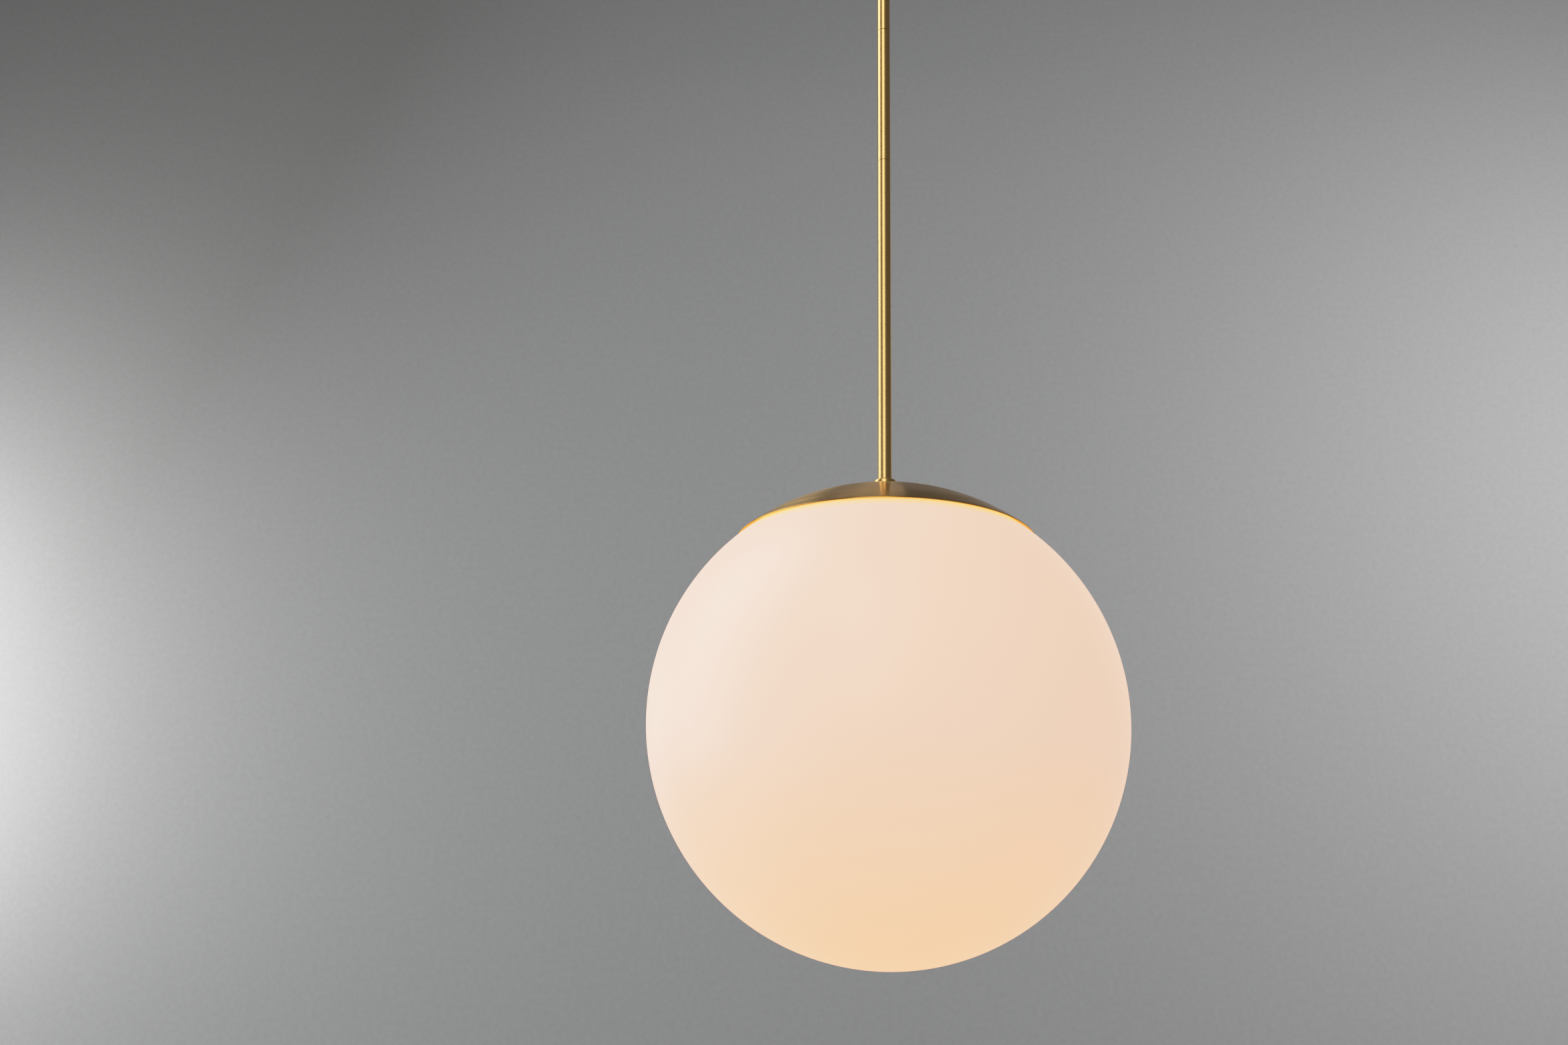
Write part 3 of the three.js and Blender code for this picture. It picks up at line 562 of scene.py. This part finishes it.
def make_collar():
    """The clamp collar, with a rounded shoulder and a grub screw in its back."""
    low, high = span("slip_collar", GLOBE_Z)
    outer = radius("slip_collar")
    corners = [(RUNNING_BORE, low, 0.2), (outer, low, 0.6), (outer, high, 2.1), (RUNNING_BORE, high, 0.3)]
    collar = spun("collar_body", corners, HEAD, 96)
    screw = middle("collar_set_screw")
    hole = rod("collar_hole", 2.2, 0, 14, (0, 3 * MM, screw.z))
    hole.rotation_euler.x = -math.pi / 2
    finished(carve(collar, [hole]), "slip_collar", STEM_BRASS)

    length = size("collar_set_screw").y / MM
    grub = to_object("collar_grub_screw", screw_thread(1.9, 0.25, 0.7, -length / 2, length / 2, 0, 32))
    recess = plate("grub_recess", [circle_points(1.1, 6)], length / 2 - 1.5, length / 2 + 1, 0.02)
    carve(grub, [recess])
    grub.data.transform(Matrix.Rotation(-math.pi / 2, 4, "X"))
    grub.location = screw
    finished(grub, "collar_set_screw", STEEL)


# ------------------------------------------------------------ stem


def make_stem():
    for part in ("lower", "middle", "upper"):
        node = f"stem_{part}"
        low, high = span(node)
        tube = to_object(f"{node}_tube", tube_mesh(STEM_RADIUS, STEM_BORE, low, high))
        finished(tube, node, STEM_BRASS)
    for part in ("top", "high", "low"):
        node = f"stem_stud_{part}"
        low, high = span(node)
        finished(to_object(f"{node}_thread", pipe_thread(low, high)), node, STEEL)
    low, high = span("supply_cable")
    jacket = [(0, low), (CABLE_RADIUS, low, 0.4), (CABLE_RADIUS, high, 0.4), (0, high)]
    cable = spun("cable_jacket", jacket, sides=48)
    finished(cable, "supply_cable", BLACK_PVC)


# ------------------------------------------------------------ globe holder


def make_hub():
    low, high = span("holder_hub", GLOBE_Z)
    corners = [(THREAD_HOLE, low, 0.3), (20, low, 0.4), (20, low + 2.4, 0.7), (18.6, low + 3.4, 0.5),
               (14, low + 3.4, 0.6), (14, high - 0.8, 0.5), (13.2, high, 0.4), (RUNNING_BORE, high, 0.5),
               (RUNNING_BORE, STEM_SEAT), (THREAD_HOLE, STEM_SEAT)]
    finished(spun("hub_turning", corners, HEAD), "holder_hub", STEM_BRASS)


def latch_sites():
    """Each latch's number, pivot and angle, from its finger knob's place."""
    for number in (1, 2, 3):
        knob = middle(f"latch_knob_{number}")
        yield number, Vector((knob.x, knob.y, GLOBE_Z)), math.atan2(knob.y, knob.x)


def make_plate():
    """The pressed pan, with a sunk stiffening ring, latch holes and its turned-down edge."""
    low, high = span("holder_plate", GLOBE_Z)
    outer = radius("holder_plate")
    under = high - PAN_SHEET
    inner = outer - PAN_SHEET
    sunk = 0.7
    corners = [(THREAD_HOLE, under, 0.3), (30, under), (31.2, under - sunk, 0.8), (34.8, under - sunk, 0.8),
               (36, under), (inner, under, 1.0), (inner, low, 0.4), (outer, low, 0.4), (outer, high, 2.0),
               (36, high), (34.8, high - sunk, 0.8), (31.2, high - sunk, 0.8), (30, high),
               (THREAD_HOLE, high, 0.3)]
    pan = spun("plate_pan", corners, HEAD, 128)
    holes = [rod("latch_hole", 3.2, under - 2, high + 2, pivot) for _, pivot, _ in latch_sites()]
    finished(carve(pan, holes), "holder_plate", SATIN_BRASS)


def make_latches():
    for number, pivot, angle in latch_sites():
        arm_low, post_top = span(f"latch_arm_{number}", GLOBE_Z)
        arm_top = arm_low + 1.8
        pivot_end = circle_points(6, 24, start=math.pi / 2)[:13]
        lug_end = circle_points(4.5, 24, (LATCH_REACH, 0), -math.pi / 2)[:13]
        arm = plate(f"latch_{number}_arm", [pivot_end + lug_end], arm_low, arm_top, 0.3, pivot)
        post = [(0, arm_top - 0.5), (4.4, arm_top - 0.5), (4.4, 187.9, 0.4), (2.6, 187.9),
                (2.6, post_top, 0.5), (0, post_top)]
        merge(arm, spun("latch_post", post, pivot, 48))
        arm.rotation_euler.z = angle
        finished(arm, f"latch_arm_{number}", STEEL)

        low, high = span(f"latch_pad_{number}", GLOBE_Z)
        pad = spun(f"latch_{number}_pad", [(0, low), (4.3, low, 0.4), (4.3, high, 0.9), (0, high)],
                   (*middle(f"latch_pad_{number}").xy, GLOBE_Z), 48)
        finished(pad, f"latch_pad_{number}", SILICONE)

        low, high = span(f"latch_knob_{number}", GLOBE_Z)
        corners = [(0, high - 1), (2.9, high - 1), (2.9, low), (5.9, low, 0.4), (5.9, high, 0.7),
                   (4.3, high, 0.3), (3.9, high - 0.4, 0.3), (0, high - 0.4)]
        knob_mesh = revolved(rounded(corners, 4), 108)
        shape_outer(knob_mesh, 5.3, lambda turn, _: 0.28 * (0.5 - 0.5 * math.cos(18 * turn)))
        knob = to_object(f"latch_{number}_knob", knob_mesh, pivot)
        finished(knob, f"latch_knob_{number}", STEM_BRASS)


def make_holder_fasteners():
    low, high = span("holder_nipple", GLOBE_Z)
    thread = pipe_thread(low, high)
    finished(to_object("holder_thread", thread, HEAD), "holder_nipple", STEEL)

    low, high = span("holder_washer", GLOBE_Z)
    corners = [(THREAD_HOLE, low, 0.2), (9.4, low, 0.2), (9.4, high, 0.2), (THREAD_HOLE, high, 0.2)]
    teeth = revolved(rounded(corners), 120)
    shape_outer(teeth, 8.2, lambda turn, _: 0.9 * (math.sin(15 * turn) > 0))
    finished(to_object("toothed_washer", teeth, HEAD), "holder_washer", STEEL)

    low, high = span("holder_nut", GLOBE_Z)
    outlines = [circle_points(NUT_CORNER, 6), circle_points(THREAD_HOLE, 48)]
    nut = plate("holder_hex_nut", outlines, low, high, 0.45, HEAD)
    finished(nut, "holder_nut", STEEL)


# ------------------------------------------------------------ lampholder and bulb


def make_lampholder():
    corners = [(THREAD_HOLE, 180, 0.2), (9, 180, 0.8), (20.6, 173.2, 1.6), (21.5, 171.5, 1.0),
               (21.5, 160, 0.3), (20.6, 160, 0.3), (20.6, 171.2, 1.0), (9, 178, 0.6), (9, 174, 0.3),
               (THREAD_HOLE, 174, 0.2)]
    finished(spun("socket_cap", corners, HEAD), "lampholder_cap", STEM_BRASS)

    body = [(0, 170), (18.6, 170, 0.8), (20, 168.6, 0.8), (20, 152, 0.5), (19.4, 151.4, 0.4),
            (19.4, 150.2, 0.4), (20, 149.6, 0.5), (20, 128, 1.2), (14.7, 128, 1.2), (14.7, 160), (0, 160)]
    finished(spun("porcelain_body", body, HEAD), "lampholder_body", PORCELAIN)

    low, high = span("screw_shell", GLOBE_Z)
    wall = 0.3
    rows = 72
    inner = [(13.55, low + (high - low) * i / rows) for i in range(rows + 1)]
    outer = [(away + wall, height) for away, height in reversed(inner)]
    shell = revolved(inner + outer, 96)
    shape_outer(shell, 13, lambda turn, height: -0.3 * rolled(turn, height, low, high))
    finished(to_object("rolled_shell", shell, HEAD), "screw_shell", ALUMINIUM)

    strip = [(-6, 159.7), (6, 159.7), (6, 159.2), (-2.6, 159.2), (3.2, 157.5), (3.2, 157.1), (-5, 159),
             (-6, 159)]
    tongue = plate("contact_tongue", [strip], -2.4, 2.4, 0.05)
    tongue.data.transform(Matrix.Rotation(math.pi / 2, 4, "X"))
    tongue.location = HEAD
    finished(tongue, "centre_contact", BRASS_STRIP)


def rolled(turn, height, low, high):
    """A round rolled thread from 0 to 1 that fades out at both ends."""
    fade = max(0, min(1, (height - low) / LAMP_PITCH, (high - height) / LAMP_PITCH))
    return fade * (0.5 - 0.5 * math.cos(2 * math.pi * height / LAMP_PITCH - turn))


def make_bulb_envelope():
    """The frosted diffuser, a cup open upwards."""
    inner = BULB_RADIUS - BULB_WALL
    inner_seam = math.degrees(math.acos(BULB_SEAM / inner))
    outer_seam = math.degrees(math.acos(BULB_SEAM / BULB_RADIUS))
    inside = arc(inner, 180, inner_seam, 48, BULB_CENTRE)
    outside = arc(BULB_RADIUS, outer_seam, 180, 48, BULB_CENTRE)
    outline = outside[::-1] + inside
    finished(to_object("bulb_diffuser_cup", revolved(outline, 96), HEAD), "bulb_envelope", DIFFUSER)


def make_bulb_housing():
    """The tapered housing, with shallow cooling ribs on its outside."""
    seam = math.sqrt(BULB_RADIUS ** 2 - BULB_SEAM ** 2)
    wall = 1.4
    low, high = span("bulb_housing", GLOBE_Z)
    corners = [(0, high - wall), (11.4, high - wall, 0.5), (11.4, 126, 3), (14.4, 115, 4), (18.4, 105.5, 4),
               (seam - wall, low, 0.3), (seam, low, 0.3), (20, 106, 4), (16, 116, 4), (13, 126, 3),
               (13, high, 0.6), (0, high)]
    housing = revolved(rounded(corners), 144)
    for vertex in housing.verts:
        x, y, height = vertex.co
        away = math.hypot(x, y)
        outside = away > 13 + max(0, 126 - height) * 0.32
        if outside and 104 < height < 124:
            rib = 0.35 * (0.5 + 0.5 * math.cos(24 * math.atan2(y, x)))
            vertex.co.x *= (away - rib) / away
            vertex.co.y *= (away - rib) / away
    finished(to_object("bulb_heat_sink", housing, HEAD), "bulb_housing", HOUSING_PLASTIC)


def make_bulb_board():
    """The board behind the diffuser, with its light-emitting chips."""
    low, high = span("bulb_led_board", GLOBE_Z)
    board = spun("led_board_disc", [(0, low), (18, low, 0.2), (18, high, 0.2), (0, high)], HEAD, 64)
    chip_outline = [(-1.6, -1.4), (1.6, -1.4), (1.6, 1.4), (-1.6, 1.4)]
    chips = []
    for x, y in circle_points(12, 8) + circle_points(5, 4):
        chip = plate("led_chip", [chip_outline], low - 0.7, low + 0.1, 0.15)
        chip.location = (x * MM, y * MM, GLOBE_Z)
        chips.append(chip)
    merge(board, *chips)
    finished(board, "bulb_led_board", SOLDER_MASK, LED_YELLOW)
    for face in board.data.polygons:
        face.material_index = int(face.center.z / MM < low - 0.02)


def make_bulb_base():
    """The rolled screw base and the contact at its tip."""
    low, high = span("bulb_base", GLOBE_Z)
    rows = 60
    thread_top = high - 3
    side = [(13.0, low + (thread_top - low) * i / rows) for i in range(rows + 1)]
    base = revolved([(0, low)] + side + [(12.2, high - 2), (9, high), (0, high)], 96)
    shape_outer(base, 12.7, lambda turn, height: 0.6 * (1 - rolled(turn, height, low, thread_top)))
    finished(to_object("bulb_screw_base", base, HEAD), "bulb_base", ALUMINIUM)

    low, high = span("bulb_contact", GLOBE_Z)
    tip = [(0, low), (5, low, 0.1), (4.4, low + 1.2, 0.5), (2.4, low + 1.2, 0.2), (2.2, high, 0.4), (0, high)]
    finished(spun("bulb_tip", tip, HEAD, 48), "bulb_contact", BRASS_STRIP)


# ------------------------------------------------------------ ceiling fitting


def make_canopy():
    depth = size("canopy").z / MM
    hole = SOCKET_RADIUS + 0.5

    def edge(arc_radius):
        return [(CANOPY_RADIUS - CANOPY_EDGE + away, CANOPY_EDGE - depth + height)
                for away, height in arc(arc_radius, 90, 180, 14)]

    outline = [(CANOPY_RADIUS - 0.3, 0), (CANOPY_RADIUS, -0.3)] + edge(CANOPY_EDGE)
    outline += [(hole + 0.3, -depth), (hole, -depth + 0.3), (hole, CANOPY_SHEET - depth)]
    outline += edge(CANOPY_EDGE - CANOPY_SHEET)[::-1] + [(CANOPY_RADIUS - CANOPY_SHEET, 0)]
    finished(to_object("canopy_pan", revolved(outline, 160)), "canopy", SATIN_BRASS)


def make_canopy_ring():
    """The screw ring, with straight knurling between two plain edges."""
    low, high = span("canopy_ring")
    outer = radius("canopy_ring") - 0.1
    inner = SOCKET_RADIUS + 0.7
    band = [(outer, low + 0.9 + (high - low - 1.8) * i / 4) for i in range(5)]
    outline = [(inner, high - 0.3), (inner, low + 0.3), (inner + 0.3, low), (outer - 0.9, low),
               (outer - 0.5, low + 0.2), (outer - 0.4, low + 0.6), *band, (outer - 0.4, high - 0.6),
               (outer - 0.5, high - 0.2), (outer - 0.9, high), (inner + 0.3, high)]
    ring = revolved(outline, 432)
    shape_outer(ring, outer - 0.05, lambda turn, _: 0.45 * (0.5 - 0.5 * math.cos(72 * turn)))
    finished(to_object("canopy_screw_ring", ring), "canopy_ring", STEM_BRASS)


def make_swivel():
    cavity = BALL_RADIUS + 0.35
    corners = [(THREAD_HOLE, 27, 0.3), (THREAD_HOLE, 19), (8, 19)]
    corners += arc(cavity, polar(cavity, 8), 90, 14)
    corners += [(cavity, -2), (15.2, -2), (15.2, -9, 0.3), (SOCKET_RADIUS, -9, 0.3), (SOCKET_RADIUS, 9, 0.8),
                (13, 13.5, 0.8), (13, 20.5, 0.8), (10.5, 23, 0.6), (10.5, 27, 0.5)]
    socket = spun("swivel_housing", corners, SWIVEL, 128)
    window_outline = [(-4.5, -20), (4.5, -20), (4.5, 20), (-4.5, 20)]
    window = plate("window_cutter", [window_outline], 13.25, 18.75, 0.8, SWIVEL)
    finished(carve(socket, [window]), "swivel_socket", SATIN_BRASS)

    retainer = [(10.7, -7.8, 0.3), (14.8, -7.8, 0.2), (14.8, -9.3), (SOCKET_RADIUS, -9.3, 0.3),
                (SOCKET_RADIUS, -11.2, 0.5), (16.5, -12, 0.5), (12.6, -12, 0.5)]
    finished(spun("swivel_lower_ring", retainer, SWIVEL, 128), "swivel_retainer", STEM_BRASS)

    running = BALL_RADIUS + 0.3
    seat = arc(running, 102, 124.5, 16) + [(10.4, -7.5), (14.6, -7.5, 0.3), (14.6, -2.6, 0.3)]
    finished(spun("swivel_nylon_seat", seat, SWIVEL), "swivel_seat", NYLON)

    upper = math.degrees(math.acos(BALL_TOP / BALL_RADIUS))
    lower = math.degrees(math.acos(BALL_FOOT / BALL_RADIUS))
    ball = [(THREAD_HOLE, BALL_TOP)] + arc(BALL_RADIUS, upper, lower, 40) + [(THREAD_HOLE, BALL_FOOT)]
    finished(to_object("swivel_ball_turning", revolved(ball, 96), SWIVEL), "swivel_ball", STEM_BRASS)


def slot_points(centre_x, half_length, half_width):
    """A slot with round ends, lying along X."""
    right = circle_points(half_width, 24, (centre_x + half_length - half_width, 0), -math.pi / 2)[:13]
    left = circle_points(half_width, 24, (centre_x - half_length + half_width, 0), math.pi / 2)[:13]
    return right + left


def make_crossbar():
    low, high = span("mounting_crossbar")
    half_x = size("mounting_crossbar").x / 2 / MM
    half_y = size("mounting_crossbar").y / 2 / MM
    corner = 3.0
    rim = []
    for turn, (sx, sy) in enumerate([(1, 1), (-1, 1), (-1, -1), (1, -1)]):
        centre = (sx * (half_x - corner), sy * (half_y - corner))
        rim += circle_points(corner, 32, centre, turn * math.pi / 2)[:9]
    ground_x = middle("ground_screw").x / MM
    holes = [slot_points(-BOX_SLOT_X, 7.4, 2.4), slot_points(BOX_SLOT_X, 7.4, 2.4),
             circle_points(THREAD_HOLE, 48), circle_points(2.3, 32, (ground_x, 0))]
    bar = plate("crossbar_strip", [rim] + holes, low, high, 0.25)
    finished(bar, "mounting_crossbar", STEEL)

    low, high = span("hanger_nipple")
    finished(to_object("hanger_thread", pipe_thread(low, high)), "hanger_nipple", STEEL)
    low, high = span("hanger_locknut")
    outlines = [circle_points(NUT_CORNER, 6), circle_points(THREAD_HOLE, 48)]
    nut = plate("hanger_hex_nut", outlines, low, high, 0.4)
    finished(nut, "hanger_locknut", BRASS_STRIP)

    low, high = span("ground_screw")
    head_top = low + 2.6
    at = (ground_x * MM, 0, 0)
    head = plate("ground_hex_screw", [circle_points(4.6, 6)], low, head_top, 0.35, at)
    slot = plate("screw_slot", [[(-6, -0.6), (6, -0.6), (6, 0.6), (-6, 0.6)]], low - 1, low + 1.1, 0.02, at)
    carve(head, [slot])
    shank = to_object("ground_shank", screw_thread(1.9, 0.3, 0.8, head_top - 0.5, high, 0, 32), at)
    finished(merge(head, shank), "ground_screw", GREEN)


def wire(name, route):
    """A round wire along a smooth curve through the route's points."""
    curve = bpy.data.curves.new(name, "CURVE")
    curve.dimensions = "3D"
    curve.bevel_depth = WIRE_RADIUS * MM
    curve.bevel_resolution = 5
    curve.resolution_u = 14
    curve.use_fill_caps = True
    spline = curve.splines.new("BEZIER")
    spline.bezier_points.add(len(route) - 1)
    for point, place_mm in zip(spline.bezier_points, route):
        point.co = Vector(place_mm) * MM
        point.handle_left_type = "AUTO"
        point.handle_right_type = "AUTO"
    holder = bpy.data.objects.new(name, curve)
    bpy.context.scene.collection.objects.link(holder)
    data = baked(holder)
    bpy.data.objects.remove(holder)
    bpy.data.curves.remove(curve)
    return place(name, data)


def make_wiring():
    """The three conductors' routes and the two twist-on connectors."""
    start = SWIVEL_Z / MM + 12.3
    window = SWIVEL_Z / MM + 16
    level = -14
    live = [(-1.3, 0.4, start), (-1.6, 4, window - 1), (-4, 14, window), (-16, 23, -17),
            (-24.5, 27.5, level), (-31, 34.8, level)]
    neutral = [(-x, -y, z) for x, y, z in live]
    neutral[0] = (1.4, -0.4, start)
    neutral[1] = (1.8, -4, window - 1)
    ground = [(1.3, 1.9, start), (2, 5, window - 1), (4, 14, window), (14, 19, -15), (25, 12, -9),
              (26, 6.2, -6)]
    routes = {"line": (live, BLACK_PVC), "neutral": (neutral, WHITE_PVC), "ground": (ground, GREEN)}
    for name, (route, material) in routes.items():
        finished(wire(f"{name}_wire", route), f"conductor_{name}", material)

    for name, side in (("line", -1), ("neutral", 1)):
        corners = [(0, 9), (3.2, 9), (3.2, 0), (6, 0, 0.5), (6.2, 6, 1.0), (5.2, 8, 1.0), (3.6, 20, 1.5),
                   (2.4, 22, 0.8), (0, 22)]
        cone = revolved(rounded(corners), 144)
        shape_outer(cone, 3.3, lambda turn, height: 0.35 * (0.5 - 0.5 * math.cos(12 * turn)) * (height > 7.5))
        connector = to_object(f"{name}_connector", cone)
        outwards = Vector((side * 26, -side * 29.2, 0))
        turn = Vector((0, 0, 1)).rotation_difference(outwards.normalized())
        connector.data.transform(turn.to_matrix().to_4x4())
        connector.location = (outwards + Vector((0, 0, level))) * MM
        finished(connector, f"wire_connector_{name}", RED_PLASTIC)


# ------------------------------------------------------------ stage, light and camera

CAMERA_FROM_GLOBE = Vector((-0.0902, -1.1635, -0.2127))
CAMERA_PITCH = 0.3230
CAMERA_ROLL = 0.0218
CAMERA_LENS = 31.53
FLOOR_Z = -3.0
BACKDROP_Y = 3.2
LIGHT_TARGET = (0, 0, -0.75)
ROLL_OFF = [(0.5, 0.5), (0.7, 0.68), (0.9, 0.80), (1.1, 0.88), (1.5, 0.96)]  # scene value, shown value
WHITE_LEVEL = 2.0


def stage_material():
    material, tree, shader = principled("stage_paint", Roughness=0.9)
    grain = noise(tree, object_place(tree), 60.0, 4.0)
    paint = blend_colour(tree, grain, (0.46, 0.46, 0.46), (0.50, 0.50, 0.50))
    tree.links.new(paint, shader.inputs["Base Color"])
    return material


def make_stage():
    """A mid grey floor that sweeps up into a backdrop."""
    bend = 1.6
    profile = [(-8.0, FLOOR_Z), (BACKDROP_Y - bend, FLOOR_Z)]
    for i in range(1, 24):
        turn = math.pi / 2 * i / 24
        profile.append((BACKDROP_Y - bend + bend * math.sin(turn), FLOOR_Z + bend - bend * math.cos(turn)))
    profile += [(BACKDROP_Y, FLOOR_Z + bend), (BACKDROP_Y, 5.0)]
    mesh = bmesh.new()
    rows = [[mesh.verts.new((x, y, z)) for x in (-9.0, 9.0)] for y, z in profile]
    for lower, upper in zip(rows, rows[1:]):
        mesh.faces.new((lower[0], lower[1], upper[1], upper[0]))
    data = bpy.data.meshes.new("studio_sweep")
    mesh.to_mesh(data)
    mesh.free()
    sweep = place("studio_sweep", data)
    sweep.data.materials.append(stage_material())


def area_light(name, at, aim, width, tall, power, colour=(1.0, 1.0, 1.0)):
    """A rectangular light that faces a point and is hidden from the camera."""
    light = bpy.data.lights.new(name, "AREA")
    light.shape = "RECTANGLE"
    light.size = width
    light.size_y = tall
    light.energy = power
    light.color = colour
    lamp = bpy.data.objects.new(name, light)
    lamp.location = at
    lamp.rotation_euler = (Vector(aim) - lamp.location).to_track_quat("-Z", "Y").to_euler()
    lamp.visible_camera = False
    bpy.context.scene.collection.objects.link(lamp)


def softbox(name, azimuth, distance, height, width, tall, power, colour):
    """A soft light on a circle round the stem. Azimuth 0 is towards the camera."""
    turn = math.radians(azimuth)
    at = (distance * math.sin(turn), -distance * math.cos(turn), height)
    area_light(name, at, LIGHT_TARGET, width, tall, power, colour)


def make_lights():
    """Two tall windows and a ceiling patch for the pendant, and two washes for the backdrop."""
    daylight = (0.90, 0.95, 1.0)
    softbox("window_left", -96, 2.6, 0.3, 1.8, 4.6, 61, daylight)
    softbox("window_behind", -13, 3.2, 0.7, 1.7, 4.4, 42, (1.0, 0.97, 0.92))
    softbox("ceiling_bounce", 182, 2.4, 2.6, 1.1, 1.0, 1.3, (1.0, 0.93, 0.82))
    area_light("wash_left", (-3.6, 2.4, -0.6), (-2.9, 3.2, -0.3), 1.2, 1.2, 45)
    area_light("wash_right", (3.3, 1.1, 0.4), (2.8, 3.2, 0.0), 2.2, 2.2, 52)
    world = bpy.data.worlds.new("studio_air")
    world.use_nodes = True
    background = world.node_tree.nodes["Background"]
    background.inputs["Color"].default_value = (0.98, 0.99, 1.0, 1)
    background.inputs["Strength"].default_value = 0.09
    bpy.context.scene.world = world


def make_camera():
    data = bpy.data.cameras.new("photo_camera")
    data.sensor_width = 36.0
    data.lens = CAMERA_LENS
    camera = bpy.data.objects.new("photo_camera", data)
    camera.matrix_world = (
        Matrix.Translation(Vector(HEAD) + CAMERA_FROM_GLOBE)
        @ Matrix.Rotation(math.pi / 2 + CAMERA_PITCH, 4, "X")
        @ Matrix.Rotation(CAMERA_ROLL, 4, "Z"))
    bpy.context.scene.collection.objects.link(camera)
    bpy.context.scene.camera = camera


def set_film():
    """Plain colours with a soft roll-off, so that the lit glass doesn't clip."""
    view = bpy.context.scene.view_settings
    view.view_transform = "Standard"
    view.use_curve_mapping = True
    mapping = view.curve_mapping
    mapping.white_level = (WHITE_LEVEL, WHITE_LEVEL, WHITE_LEVEL)
    curve = mapping.curves[3]
    curve.points[0].location = (0.0, 0.0)
    curve.points[1].location = (1.0, 1.0)
    for scene_value, shown in ROLL_OFF:
        curve.points.new(scene_value / WHITE_LEVEL, shown)
    mapping.update()


make_camera()
make_stage()
make_lights()
make_globe()
make_gasket()
make_dome()
make_dome_bushing()
make_collar()
make_stem()
make_hub()
make_plate()
make_latches()
make_holder_fasteners()
make_lampholder()
make_bulb_envelope()
make_bulb_housing()
make_bulb_board()
make_bulb_base()
make_canopy()
make_canopy_ring()
make_swivel()
make_crossbar()
make_wiring()
set_film()
